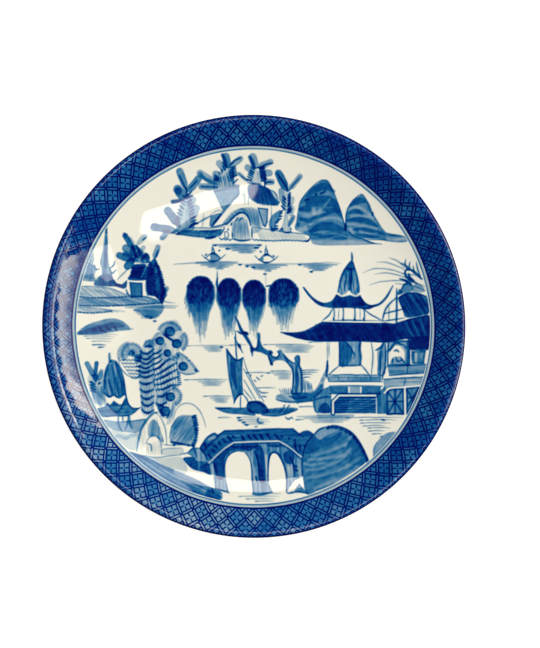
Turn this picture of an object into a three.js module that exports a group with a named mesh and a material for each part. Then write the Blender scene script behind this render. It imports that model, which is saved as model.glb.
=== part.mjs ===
// A china dinner plate: a fired porcelain body on a foot ring, an underglaze cobalt decoration, and its glaze.
// Millimetres, +Z up. The origin is the centre of the foot ring's resting face, and the plate is round about Z.
import * as THREE from "three";

// Driving dimensions
const PLATE_RADIUS = 130;
const FLOOR_TOP = 8; // height of the well floor's surface
const FLOOR_UNDER = 3.8; // height of the base inside the foot ring
const SKIN = 0.35; // glaze with the cobalt under it
const GAP = 0.3; // clearance that touching solids keep
const SEGMENTS = 60; // facets round the plate

// The face: a flat floor, a gentle rise to the well's edge, then a border that steepens up to the rolled lip
const FLAT_RADIUS = 66;
const WELL_RADIUS = 110.9;
const WELL_EDGE_HEIGHT = 14.4;
const WELL_EDGE_SLOPE = 0.3;
const HEEL_RADIUS = 113.6; // where the border's own slope begins
const HEEL_HEIGHT = 15.7;
const HEEL_SLOPE = 0.54;
const STEEP_RADIUS = 122.8; // where the border is steepest
const STEEP_HEIGHT = 21.6;
const STEEP_SLOPE = 0.74;

// The border rolls over the lip, which is nearly round in section
const LIP_REACH = 2.4; // half the lip's width
const LIP_RISE = 2.2; // half its height
const LIP_HEIGHT = 21.5;
const LIP_CENTRE = PLATE_RADIUS - LIP_REACH;
const LIP_START = THREE.MathUtils.degToRad(104);
const LIP_PRINT_END = THREE.MathUtils.degToRad(26);
const LIP_LINE_END = THREE.MathUtils.degToRad(-32);
const LIP_END = THREE.MathUtils.degToRad(-70);

// The back, from under the lip down to the foot ring
const BACK_RADIUS = 112;
const BACK_HEIGHT = 10.6;
const BACK_SLOPE = 0.5;
const FOOT_ROOT_RADIUS = 86;
const FOOT_ROOT_HEIGHT = 4.4;
const FOOT_ROOT_SLOPE = 0.08;

// The foot ring
const FOOT_INNER_TOP = 78.9;
const FOOT_INNER_SEAT = 80.6;
const FOOT_OUTER_SEAT = 83;
const FOOT_BEVEL = 0.6;
const FOOT_WAIST_HEIGHT = 1.9; // where the ring's two flanks change their slope
const FOOT_WAIST_INNER = 79.4;
const FOOT_WAIST_OUTER = 84.6;
const FOOT_OUTER_TOP = 85.4;

// The decoration's rings
const PAINTING_RADIUS = 109.1;
const RING_LINE_OUTER = 110.7;

// Where the body's cavetto ends and its rim begins; its floor is the flat part
const CAVETTO_RADIUS = 110.4;

// The slope of a surface is measured over this step
const SLOPE_STEP = 0.01;

// A point of a cubic that leaves a with slope sa and reaches b with slope sb, t from 0 to 1
function hermite(a, sa, b, sb, t) {
  const width = b.x - a.x;
  const h01 = t * t * (3 - 2 * t);
  const h10 = t * (1 - t) * (1 - t);
  const h11 = t * t * (t - 1);
  const z = a.y + h01 * (b.y - a.y) + width * (h10 * sa + h11 * sb);
  return new THREE.Vector2(a.x + t * width, z);
}

const v2 = (r, z) => new THREE.Vector2(r, z);

// A point of the lip, sunk along its own normal by depth
function lipPoint(angle, depth = 0) {
  const x = Math.cos(angle);
  const y = Math.sin(angle);
  const normal = v2(LIP_RISE * x, LIP_REACH * y).normalize();
  return v2(LIP_CENTRE + LIP_REACH * x, LIP_HEIGHT + LIP_RISE * y).addScaledVector(normal, -depth);
}

const flatEnd = v2(FLAT_RADIUS, FLOOR_TOP);
const wellEdge = v2(WELL_RADIUS, WELL_EDGE_HEIGHT);
const heel = v2(HEEL_RADIUS, HEEL_HEIGHT);
const steep = v2(STEEP_RADIUS, STEEP_HEIGHT);
const lipStart = lipPoint(LIP_START);
const lipEnd = lipPoint(LIP_END);
const backMiddle = v2(BACK_RADIUS, BACK_HEIGHT);
const footRoot = v2(FOOT_ROOT_RADIUS, FOOT_ROOT_HEIGHT);
const slopeAt = (angle) => -LIP_RISE / LIP_REACH / Math.tan(angle);

// Height of the face at a radius inside the lip
function faceHeight(r) {
  if (r <= FLAT_RADIUS) return FLOOR_TOP;
  if (r <= WELL_RADIUS) {
    const t = (r - FLAT_RADIUS) / (WELL_RADIUS - FLAT_RADIUS);
    return hermite(flatEnd, 0, wellEdge, WELL_EDGE_SLOPE, t).y;
  }
  if (r <= HEEL_RADIUS) {
    const t = (r - WELL_RADIUS) / (HEEL_RADIUS - WELL_RADIUS);
    return hermite(wellEdge, WELL_EDGE_SLOPE, heel, HEEL_SLOPE, t).y;
  }
  if (r <= STEEP_RADIUS) {
    const t = (r - HEEL_RADIUS) / (STEEP_RADIUS - HEEL_RADIUS);
    return hermite(heel, HEEL_SLOPE, steep, STEEP_SLOPE, t).y;
  }
  const t = (r - STEEP_RADIUS) / (lipStart.x - STEEP_RADIUS);
  return hermite(steep, STEEP_SLOPE, lipStart, slopeAt(LIP_START), t).y;
}

// Height of the back at a radius between the foot ring and the lip
function backHeight(r) {
  if (r <= BACK_RADIUS) {
    const t = (r - FOOT_ROOT_RADIUS) / (BACK_RADIUS - FOOT_ROOT_RADIUS);
    return hermite(footRoot, FOOT_ROOT_SLOPE, backMiddle, BACK_SLOPE, t).y;
  }
  const t = (r - BACK_RADIUS) / (lipEnd.x - BACK_RADIUS);
  return hermite(backMiddle, BACK_SLOPE, lipEnd, slopeAt(LIP_END), t).y;
}

// The surface height(r), sunk along its own normal by depth; side is 1 for the face and -1 for the back
function sunk(height, r, depth, side) {
  const slope = (height(r) - height(r - SLOPE_STEP)) / SLOPE_STEP;
  const length = Math.hypot(1, slope);
  return v2(r + (side * depth * slope) / length, height(r) - (side * depth) / length);
}

// Points of the face or back from radius a to radius b
function along(height, a, b, count, depth, side) {
  const points = [];
  for (let i = 0; i <= count; i++) {
    points.push(sunk(height, a + ((b - a) * i) / count, depth, side));
  }
  return points;
}

// Points round the lip from one angle to another
function roundLip(from, to, count, depth) {
  const points = [];
  for (let i = 0; i <= count; i++) {
    points.push(lipPoint(from + ((to - from) * i) / count, depth));
  }
  return points;
}

// Points of the face from radius a across the border, up to where the lip starts
const acrossBorder = (a, depth) => [
  ...along(faceHeight, a, HEEL_RADIUS, 2, depth, 1),
  ...along(faceHeight, HEEL_RADIUS, STEEP_RADIUS, 3, depth, 1).slice(1),
  ...along(faceHeight, STEEP_RADIUS, lipStart.x, 4, depth, 1).slice(1, -1),
];

// One named solid of revolution from an outline of (radius, height) points
const plate = new THREE.Group();
function turned(name, outline, finish) {
  const closed = outline[0].x > 0 ? [...outline, outline[0]] : outline;
  const geometry = new THREE.LatheGeometry(closed, SEGMENTS);
  geometry.rotateX(Math.PI / 2);
  const material = new THREE.MeshStandardMaterial({ ...finish, metalness: 0 });
  const mesh = new THREE.Mesh(geometry, material);
  mesh.name = name;
  plate.add(mesh);
}

// A skin of glaze over a run of surface points: outer at the surface, inner sunk by its thickness
const skin = (outer, inner) => [...outer, ...inner.reverse()];

const BISCUIT = { color: 0xe9e6dc, roughness: 0.6 };
const BARE_CLAY = { color: 0xd9cfbc, roughness: 0.85 };
const COBALT = { color: 0x1f4f96, roughness: 0.12 };
const DEEP_COBALT = { color: 0x0b1f63, roughness: 0.12 };
const WHITE_GLAZE = { color: 0xe6e8ea, roughness: 0.12 };

// The body lies under the glaze
const BODY_DEPTH = SKIN + GAP;

// The fired body: floor, cavetto and rim
const baseUnder = FLOOR_UNDER + BODY_DEPTH;
turned(
  "well_floor",
  [
    v2(0, baseUnder),
    v2(FLAT_RADIUS, baseUnder),
    v2(FLAT_RADIUS, FLOOR_TOP - BODY_DEPTH),
    v2(0, FLOOR_TOP - BODY_DEPTH),
  ],
  BISCUIT,
);

const cavettoInner = FLAT_RADIUS + GAP;
const cavettoBack = along(backHeight, FOOT_ROOT_RADIUS, CAVETTO_RADIUS, 5, BODY_DEPTH, -1);
const cavettoFace = along(faceHeight, cavettoInner, CAVETTO_RADIUS, 8, BODY_DEPTH, 1);
turned(
  "cavetto_wall",
  [
    v2(cavettoInner, baseUnder),
    v2(FOOT_OUTER_TOP, baseUnder),
    ...cavettoBack.slice(0, -1),
    v2(CAVETTO_RADIUS, cavettoBack.at(-1).y),
    v2(CAVETTO_RADIUS, cavettoFace.at(-1).y),
    ...cavettoFace.slice(1, -1).reverse(),
    v2(cavettoInner, cavettoFace[0].y),
  ],
  BISCUIT,
);

const rimInner = CAVETTO_RADIUS + GAP;
const rimFace = acrossBorder(rimInner, BODY_DEPTH);
const rimBack = along(backHeight, rimInner, lipEnd.x, 4, BODY_DEPTH, -1);
turned(
  "rim_flange",
  [
    v2(rimInner, rimBack[0].y),
    ...rimBack.slice(1, -1),
    ...roundLip(LIP_END, LIP_START, 8, BODY_DEPTH),
    ...rimFace.slice(1).reverse(),
    v2(rimInner, rimFace[0].y),
  ],
  BISCUIT,
);

// The foot ring, with a bare flat seat
const footTop = baseUnder - GAP;
turned(
  "foot_ring",
  [
    v2(FOOT_INNER_SEAT, FOOT_BEVEL),
    v2(FOOT_INNER_SEAT + FOOT_BEVEL / 2, 0),
    v2(FOOT_OUTER_SEAT, 0),
    v2(FOOT_OUTER_SEAT + FOOT_BEVEL, FOOT_BEVEL),
    v2(FOOT_WAIST_OUTER, FOOT_WAIST_HEIGHT),
    v2(FOOT_OUTER_TOP, footTop),
    v2(FOOT_INNER_TOP, footTop),
    v2(FOOT_WAIST_INNER, FOOT_WAIST_HEIGHT),
  ],
  BARE_CLAY,
);

// The decorated face, each ring of it under its own stretch of glaze
const paintingFace = (depth) => [
  v2(0, FLOOR_TOP - depth),
  ...along(faceHeight, FLAT_RADIUS, PAINTING_RADIUS, 7, depth, 1),
];
turned("landscape_painting", skin(paintingFace(SKIN), paintingFace(0)), COBALT);

const ringLineInner = PAINTING_RADIUS + GAP;
turned(
  "inner_ring_line",
  skin(
    along(faceHeight, ringLineInner, RING_LINE_OUTER, 1, SKIN, 1),
    along(faceHeight, ringLineInner, RING_LINE_OUTER, 1, 0, 1),
  ),
  DEEP_COBALT,
);

const borderFace = (depth) => [
  ...acrossBorder(RING_LINE_OUTER + GAP, depth),
  ...roundLip(LIP_START, LIP_PRINT_END, 6, depth),
];
turned("lattice_border", skin(borderFace(SKIN), borderFace(0)), COBALT);

// The clearance between two skins on the lip, as an angle
const LIP_GAP = GAP / LIP_RISE;
const edgeFace = (depth) => roundLip(LIP_PRINT_END - LIP_GAP, LIP_LINE_END, 4, depth);
turned("rim_edge_line", skin(edgeFace(SKIN), edgeFace(0)), DEEP_COBALT);

// The glazed underside and the glazed base inside the foot ring
const underFace = (depth) => [
  ...roundLip(LIP_LINE_END - LIP_GAP, LIP_END, 3, depth),
  ...along(backHeight, FOOT_ROOT_RADIUS + GAP, lipEnd.x, 9, depth, -1).slice(0, -1).reverse(),
];
turned("underside_glaze", skin(underFace(SKIN), underFace(0)), WHITE_GLAZE);

const RECESS_RADIUS = FOOT_INNER_TOP - GAP;
turned(
  "foot_recess_glaze",
  [
    v2(0, FLOOR_UNDER),
    v2(RECESS_RADIUS, FLOOR_UNDER),
    v2(RECESS_RADIUS, FLOOR_UNDER + SKIN),
    v2(0, FLOOR_UNDER + SKIN),
  ],
  WHITE_GLAZE,
);

export default plate;
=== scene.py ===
import math

import bpy
import numpy as np
from mathutils import Matrix, Vector


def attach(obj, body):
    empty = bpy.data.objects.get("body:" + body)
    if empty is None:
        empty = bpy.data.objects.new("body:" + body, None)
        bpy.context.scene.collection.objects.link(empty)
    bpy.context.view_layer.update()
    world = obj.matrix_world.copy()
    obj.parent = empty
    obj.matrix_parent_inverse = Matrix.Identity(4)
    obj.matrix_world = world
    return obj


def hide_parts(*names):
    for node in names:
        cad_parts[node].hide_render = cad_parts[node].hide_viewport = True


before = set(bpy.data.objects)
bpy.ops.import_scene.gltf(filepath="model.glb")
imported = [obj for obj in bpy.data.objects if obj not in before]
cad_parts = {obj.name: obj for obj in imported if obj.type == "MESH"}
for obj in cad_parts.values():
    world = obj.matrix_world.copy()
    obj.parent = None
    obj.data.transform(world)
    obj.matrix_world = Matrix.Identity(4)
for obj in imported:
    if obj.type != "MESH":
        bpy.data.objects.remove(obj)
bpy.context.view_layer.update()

MM = 0.001


# ---------------------------------------------------------------- the plate's profile
FLOOR_TOP = 8.0
FLOOR_UNDER = 3.8
FLAT_RADIUS = 66.0
WELL_EDGE, WELL_EDGE_SLOPE = (110.9, 14.4), 0.3
HEEL, HEEL_SLOPE = (113.6, 15.7), 0.54
STEEP, STEEP_SLOPE = (122.8, 21.6), 0.74
LIP_REACH, LIP_RISE = 2.4, 2.2
LIP_CENTRE = (127.6, 21.5)
LIP_START, LIP_PRINT_END, LIP_LINE_END, LIP_END = (math.radians(a) for a in (104, 26, -32, -70))
BACK_MIDDLE, BACK_SLOPE = (112.0, 10.6), 0.5
FOOT_ROOT, FOOT_ROOT_SLOPE = (86.0, 4.4), 0.08
PAINTING_RADIUS = 109.1
RING_LINE_OUTER = 110.7
FOOT_OUTER_TOP, FOOT_INNER_TOP = 85.4, 78.9


def lip_point(angle):
    return LIP_CENTRE[0] + LIP_REACH * math.cos(angle), LIP_CENTRE[1] + LIP_RISE * math.sin(angle)


def lip_slope(angle):
    return -LIP_RISE / LIP_REACH / math.tan(angle)


def between(a, slope_a, b, slope_b, r):
    """Height at radius r on a cubic from point a to point b with those slopes"""
    width = b[0] - a[0]
    t = (r - a[0]) / width
    rise = t * t * (3 - 2 * t) * (b[1] - a[1])
    return a[1] + rise + width * (t * (1 - t) ** 2 * slope_a + t * t * (t - 1) * slope_b)


def face_height(r):
    """Height of the face inside the lip, for an array of radii"""
    r = np.asarray(r, float)
    well = between((FLAT_RADIUS, FLOOR_TOP), 0, WELL_EDGE, WELL_EDGE_SLOPE, r)
    turn = between(WELL_EDGE, WELL_EDGE_SLOPE, HEEL, HEEL_SLOPE, r)
    rim = between(HEEL, HEEL_SLOPE, STEEP, STEEP_SLOPE, r)
    shoulder = between(STEEP, STEEP_SLOPE, lip_point(LIP_START), lip_slope(LIP_START), r)
    outer = np.where(r <= STEEP[0], rim, shoulder)
    inner = np.where(r <= FLAT_RADIUS, FLOOR_TOP, well)
    return np.where(r <= WELL_EDGE[0], inner, np.where(r <= HEEL[0], turn, outer))


def back_height(r):
    """Height of the back between the foot ring and the lip"""
    r = np.asarray(r, float)
    near = between(FOOT_ROOT, FOOT_ROOT_SLOPE, BACK_MIDDLE, BACK_SLOPE, r)
    far = between(BACK_MIDDLE, BACK_SLOPE, lip_point(LIP_END), lip_slope(LIP_END), r)
    return np.where(r <= BACK_MIDDLE[0], near, far)


def face_line(start, stop, step):
    radii = np.linspace(start, stop, max(2, int(round((stop - start) / step)) + 1))
    return np.stack([radii, face_height(radii)], 1)


def back_line(start, stop, step):
    radii = np.linspace(start, stop, max(2, int(round((stop - start) / step)) + 1))
    return np.stack([radii, back_height(radii)], 1)


def lip_line(start, stop, count):
    return np.array([lip_point(a) for a in np.linspace(start, stop, count)])


# ---------------------------------------------------------------- meshes
ROUND = 720


def made(name, points, faces, uvs=None):
    """A smooth mesh object from millimetre points and four-cornered faces, with its own layout for baking"""
    mesh = bpy.data.meshes.new(name)
    mesh.vertices.add(len(points))
    mesh.vertices.foreach_set("co", (np.asarray(points) * MM).astype(np.float32).ravel())
    mesh.loops.add(faces.size)
    mesh.loops.foreach_set("vertex_index", faces.astype(np.int32).ravel())
    mesh.polygons.add(len(faces))
    mesh.polygons.foreach_set("loop_start", np.arange(0, faces.size, 4, dtype=np.int32))
    mesh.polygons.foreach_set("use_smooth", np.ones(len(faces), bool))
    if uvs is not None:
        mesh.uv_layers.new(name="OFBake").data.foreach_set("uv", np.asarray(uvs, np.float32).ravel())
    mesh.update(calc_edges=True)
    mesh.validate()
    piece = bpy.data.objects.new(name, mesh)
    bpy.context.scene.collection.objects.link(piece)
    return piece


def turned(name, line, uv_strips=0):
    """A line of (radius, height) points turned about Z into a ring or a dish, with its outside to the left"""
    rows = len(line)
    angles = np.arange(ROUND) * 2 * math.pi / ROUND
    points = np.stack([np.outer(line[:, 0], np.cos(angles)), np.outer(line[:, 0], np.sin(angles)),
                       np.repeat(line[:, 1:2], ROUND, 1)], 2).reshape(-1, 3)
    row, column = np.meshgrid(np.arange(rows - 1), np.arange(ROUND), indexing="ij")
    beside = (column + 1) % ROUND
    corners = [(row, column), (row + 1, column), (row + 1, beside), (row, beside)]
    faces = np.stack([(r * ROUND + c).ravel() for r, c in corners], 1)
    uvs = None
    if uv_strips:
        # The ring is cut into strips that lie one above another
        travel = np.concatenate([[0], np.cumsum(np.hypot(*np.diff(line, axis=0).T))])
        share = travel / travel[-1]
        per_strip = ROUND // uv_strips
        strip, place = column // per_strip, column % per_strip
        across = [share[row], share[row + 1], share[row + 1], share[row]]
        along = [place, place, place + 1, place + 1]
        u = np.stack([0.004 + 0.992 * a / per_strip for a in along], 2)
        v = np.stack([(strip + 0.04 + 0.92 * a) / uv_strips for a in across], 2)
        uvs = np.stack([u, v], 3)
    return made(name, points, faces, uvs)


def disc_grid(radius, side):
    """A square grid of points pressed into a disc, so that its edge is a clean circle"""
    ticks = np.linspace(-1, 1, side)
    u, v = np.meshgrid(ticks, ticks)
    flat = np.abs(u) >= np.abs(v)
    reach = np.where(flat, u, v)
    safe = np.where(reach == 0, 1, reach)
    turn = np.where(flat, math.pi / 4 * v / safe, math.pi / 2 - math.pi / 4 * u / safe)
    return radius * reach * np.cos(turn), radius * reach * np.sin(turn)


def painted_disc(name, radius, side, densities):
    """The well's glaze: a fine disc on the face, with the cobalt under each point"""
    x, y = disc_grid(radius, side)
    z = face_height(np.hypot(x, y))
    index = np.arange(side * side).reshape(side, side)
    faces = np.stack([index[:-1, :-1], index[:-1, 1:], index[1:, 1:], index[1:, :-1]], 2).reshape(-1, 4)
    points = np.stack([x, y, z], 2).reshape(-1, 3)
    flat = (0.5 + 0.498 * points[:, :2] / radius)[faces]
    piece = made(name, points, faces, flat)
    cobalt = piece.data.attributes.new("cobalt", "FLOAT", "POINT")
    cobalt.data.foreach_set("value", sampled(densities, points[:, 0], points[:, 1]).astype(np.float32))
    return piece


def sampled(densities, x, y):
    """The sheet's value at places between its points"""
    column, row = (x + SHEET_REACH) / SHEET_PITCH, (y + SHEET_REACH) / SHEET_PITCH
    i, j = column.astype(int), row.astype(int)
    u, v = column - i, row - j
    low = densities[j, i] * (1 - u) + densities[j, i + 1] * u
    high = densities[j + 1, i] * (1 - u) + densities[j + 1, i + 1] * u
    return low * (1 - v) + high * v


# ---------------------------------------------------------------- the brush
# The decoration is laid on a square sheet of cobalt density, 0 bare glaze to 1 deepest blue, in plate
# millimetres with +Y away from the viewer. Each mark is a stroke or a wash drawn from a few points.
SHEET_REACH = 110.0
SHEET_PITCH = 0.2
SHEET_SIDE = int(2 * SHEET_REACH / SHEET_PITCH) + 1
EDGE_SOFTNESS = 0.17
CURVE_STEP = 0.8
TREMOR = 0.16
POOLING = 0.14

draws = np.random.RandomState(7)
NOISE_SIDE = 256
noise_lattice = draws.rand(NOISE_SIDE, NOISE_SIDE).astype(np.float32)
sheet = np.zeros((SHEET_SIDE, SHEET_SIDE), np.float32)
sheet_ticks = np.linspace(-SHEET_REACH, SHEET_REACH, SHEET_SIDE, dtype=np.float32)


def noise(x, y):
    """Smooth noise from -1 to 1 with one lattice cell to a unit"""
    column, row = np.floor(x).astype(int), np.floor(y).astype(int)
    u, v = x - column, y - row
    u, v = u * u * (3 - 2 * u), v * v * (3 - 2 * v)
    left, right = column % NOISE_SIDE, (column + 1) % NOISE_SIDE
    low, high = row % NOISE_SIDE, (row + 1) % NOISE_SIDE
    bottom = noise_lattice[low, left] * (1 - u) + noise_lattice[low, right] * u
    top = noise_lattice[high, left] * (1 - u) + noise_lattice[high, right] * u
    return 2 * (bottom * (1 - v) + top * v) - 1


def curve(points, closed=False):
    """Points along a smooth line through the given ones; a point given twice is a corner"""
    given = np.asarray(points, float)
    if closed:
        ring = np.vstack([given[-1:], given, given[:2]])
    else:
        ring = np.vstack([2 * given[0] - given[1], given, 2 * given[-1] - given[-2]])
    found = []
    for a, b, c, d in zip(ring, ring[1:], ring[2:], ring[3:]):
        count = max(1, int(math.ceil(math.hypot(*(c - b)) / CURVE_STEP)))
        t = (np.arange(count) / count)[:, None]
        bend = (2 * a - 5 * b + 4 * c - d) * t**2 + (3 * b - a - 3 * c + d) * t**3
        found.append(0.5 * (2 * b + (c - a) * t + bend))
    if not closed:
        found.append(given[-1:])
    return np.vstack(found)


def window(low, high):
    """The part of the sheet between two corners, with its X and Y"""
    first = [max(0, int((v + SHEET_REACH) / SHEET_PITCH)) for v in low]
    last = [min(SHEET_SIDE, int((v + SHEET_REACH) / SHEET_PITCH) + 2) for v in high]
    columns, rows = slice(first[0], last[0]), slice(first[1], last[1])
    return sheet[rows, columns], sheet_ticks[columns][None, :], sheet_ticks[rows][:, None]


def distance_to(path, radii, low, high):
    """Distance from each sheet point of a window to a line with a radius at each of its points"""
    part, x, y = window(low, high)
    nearest = np.full(part.shape, 9.0, np.float32)
    share = np.zeros(part.shape, np.float32)
    reach = float(radii.max()) + 1.0
    for i in range(len(path) - 1):
        a, b = path[i], path[i + 1]
        d = b - a
        square = max(float(d @ d), 1e-9)
        near_x = slice(*np.searchsorted(x[0], [min(a[0], b[0]) - reach, max(a[0], b[0]) + reach]))
        near_y = slice(*np.searchsorted(y[:, 0], [min(a[1], b[1]) - reach, max(a[1], b[1]) + reach]))
        px, py = x[:, near_x] - a[0], y[near_y] - a[1]
        t = np.clip((px * d[0] + py * d[1]) / square, 0, 1)
        gap = np.hypot(px - t * d[0], py - t * d[1]) - (radii[i] + (radii[i + 1] - radii[i]) * t)
        closer = gap < nearest[near_y, near_x]
        nearest[near_y, near_x][closer] = gap[closer]
        share[near_y, near_x][closer] = ((i + t) / (len(path) - 1))[closer]
    return part, x, y, nearest, share


def cover(gap, soft=EDGE_SOFTNESS):
    """How far a mark covers each point, from its distance outside the mark"""
    return np.clip(0.5 - gap / (2 * soft), 0, 1)


def lay(part, x, y, gap, tone):
    """Adds cobalt where gap is negative, with a soft edge, a darker rim and a little cloudiness"""
    ink = cover(gap)
    rim = np.exp(-np.clip(-gap, 0, 9) / 0.4)
    cloud = 0.10 * noise(x / 2.3, y / 2.3) + 0.06 * noise(x / 0.7 + 40, y / 0.7)
    part[:] = 1 - (1 - part) * (1 - np.clip(ink * tone * (1 - POOLING / 2 + POOLING * rim + cloud), 0, 1))


def brush(points, width, tone, start=0.5, end=0.5, fade=0.0):
    """One stroke: width at its fullest, start and end as shares of it, and a tone that may fade out"""
    path = curve(points)
    count = len(path)
    path = path + TREMOR * noise(*(path / 3.1 + draws.rand(2) * 90).T)[:, None] * draws.uniform(-1, 1, 2)
    s = np.linspace(0, 1, count)
    swell = np.interp(s, [0, 0.35, 0.65, 1], [start, 1, 1, end])
    radii = width / 2 * swell * (1 + 0.10 * noise(s * count / 5 + draws.rand() * 90, s))
    margin = width / 2 + 0.6
    low, high = path.min(0) - margin, path.max(0) + margin
    part, x, y, gap, share = distance_to(path, radii, low, high)
    lay(part, x, y, gap, tone * (1 - fade * share))


def inside(path, x, y):
    """Which sheet points of a window a closed line surrounds"""
    found = np.zeros((y.shape[0], x.shape[1]), bool)
    for a, b in zip(path, np.roll(path, -1, 0)):
        if a[1] == b[1]:
            continue
        rows = (a[1] > y[:, 0]) != (b[1] > y[:, 0])
        crossing = a[0] + (y[rows] - a[1]) * (b[0] - a[0]) / (b[1] - a[1])
        found[rows] ^= x < crossing
    return found


def filled(points, smooth=True):
    """A window of the sheet with each point's distance outside a closed outline"""
    path = curve(points, closed=True) if smooth else np.asarray(points, float)
    low, high = path.min(0) - 0.6, path.max(0) + 0.6
    loop = np.vstack([path, path[:1]])
    part, x, y, gap, _ = distance_to(loop, np.zeros(len(loop)), low, high)
    return part, x, y, np.where(inside(path, x, y), -gap, gap)


def wash(points, tone, smooth=True, grain=None, streak=0.25):
    """A filled shape; grain is the angle in degrees that its brush streaks run along"""
    part, x, y, gap = filled(points, smooth)
    if grain is not None:
        c, s = math.cos(math.radians(grain)), math.sin(math.radians(grain))
        along, across = x * c + y * s, y * c - x * s
        tone = tone * (1 + streak * noise(along / 14, across / 0.9))
    lay(part, x, y, gap, tone)


def clear(points, smooth=True, keep=0.0):
    """Lifts the cobalt off a shape, down to a share of it"""
    part, _, _, gap = filled(points, smooth)
    part[:] *= 1 - (1 - keep) * cover(gap)


def scratch(points, width, keep=0.1, soft=EDGE_SOFTNESS):
    """A line lifted out of what is painted, down to a share of it"""
    path = curve(points)
    low, high = path.min(0) - width - soft, path.max(0) + width + soft
    part, _, _, gap, _ = distance_to(path, np.full(len(path), width / 2), low, high)
    part[:] *= 1 - (1 - keep) * cover(gap, soft)


def spaced(points, count, loose=0.0):
    """Points at even steps along a smooth line, each moved a little by chance"""
    path = curve(points)
    steps = np.hypot(*np.diff(path, axis=0).T)
    travel = np.concatenate([[0], np.cumsum(steps)])
    places = np.linspace(0, travel[-1], count)
    places = np.clip(places + loose * draws.uniform(-0.5, 0.5, count) * travel[-1] / count, 0, travel[-1])
    return np.stack([np.interp(places, travel, path[:, k]) for k in (0, 1)], 1)


def hatch(one, other, count, width, tone, loose=0.5, **taper):
    """Strokes that each join a point of one line to the matching point of the other"""
    for a, b in zip(spaced(one, count, loose), spaced(other, count, loose)):
        brush([a, b], width * draws.uniform(0.8, 1.2), tone * draws.uniform(0.85, 1.1), **taper)


def outline(points, width, tone, smooth=True):
    """A closed line round a shape"""
    path = list(points) + [points[0]]
    if smooth:
        brush(path, width, tone, 1, 1)
        return
    for a, b in zip(path, path[1:]):
        brush([a, b], width, tone, 1, 1)


# ---------------------------------------------------------------- the landscape
# Tones of the cobalt: how much a mark leaves on the sheet
FAINT, PALE, LIGHT, MIDDLE, STRONG, DEEP, LINE = 0.16, 0.24, 0.34, 0.48, 0.62, 0.78, 0.88


def leaf(root, tip, width, tone, rib=0.0):
    """A club-shaped leaf, with a darker rib where the brush is pressed twice"""
    brush([root, tip], width, tone, 0.25, 0.95)
    if rib:
        brush([root, tip], min(1.2, width * 0.3), rib, 0.5, 0.9)


def dashes(one, other, count, width=0.9, tone=LINE):
    """Short thick strokes in a row, as on a leafy trunk"""
    hatch(one, other, count, width, tone, 0.3, start=0.8, end=0.7)


def trunk(base, top, spread, count, tone=PALE, ink=LINE):
    """A pale trunk with a row of slanting dashes down each side"""
    (bx, by), (tx, ty) = base, top
    wash([(bx - spread, by), (tx - spread * 0.4, ty), (tx + spread * 0.4, ty), (bx + spread, by)], tone,
         grain=90)
    for side in (-1, 1):
        inner = [(tx + side * 0.3, ty - 1), (bx + side * spread * 0.7, by + 2)]
        outer = [(tx + side * 2.6, ty + 1), (bx + side * (spread + 1.6), by + 3.6)]
        dashes(inner, outer, count, 0.9, ink)


def scallops(line, count, width, tone, drop=0.9):
    """A wavy edge of small hanging arcs along a line"""
    stops = spaced(line, count + 1)
    for a, b in zip(stops, stops[1:]):
        middle = (a + b) / 2 + (0, -drop)
        brush([a, middle, b], width, tone, 0.6, 0.6)


def ripples(lines, tone=PALE, width=1.0):
    """Water marks: each (x from, x to, y) a level stroke with a darker start"""
    for left, right, y in lines:
        middle = (left + right) / 2
        brush([(left, y), (middle, y + 0.25), (right, y + 0.1)], width, tone, 0.5, 0.3)
        brush([(left, y), (left + min(2.2, right - left), y)], width * 0.8, tone, 0.6, 0.5)


def stepped(x_from, x_to, y, rows, slope=1.0, tone=PALE, shrink=3.0):
    """A shaded patch of water that narrows downwards, row by row"""
    for i in range(rows):
        left = x_from + shrink * i * draws.uniform(0.7, 1.2)
        right = x_to - shrink * slope * i * draws.uniform(0.7, 1.2)
        if right - left > 3:
            level = y - 1.15 * i
            brush([(left, level), ((left + right) / 2, level + 0.2), (right, level)], 1.5, tone, 0.5, 0.4)


def mountain(shape, dark, pale):
    """A hill in washes: dark and pale are the (points, width) of its heavier and thinner bands"""
    wash(shape, MIDDLE + 0.04, grain=8, streak=0.1)
    for points, width in dark:
        brush(points, width, 0.42, 0.4, 0.3)
    for points, width in pale:
        scratch(points, width, keep=0.62, soft=0.7)


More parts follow.
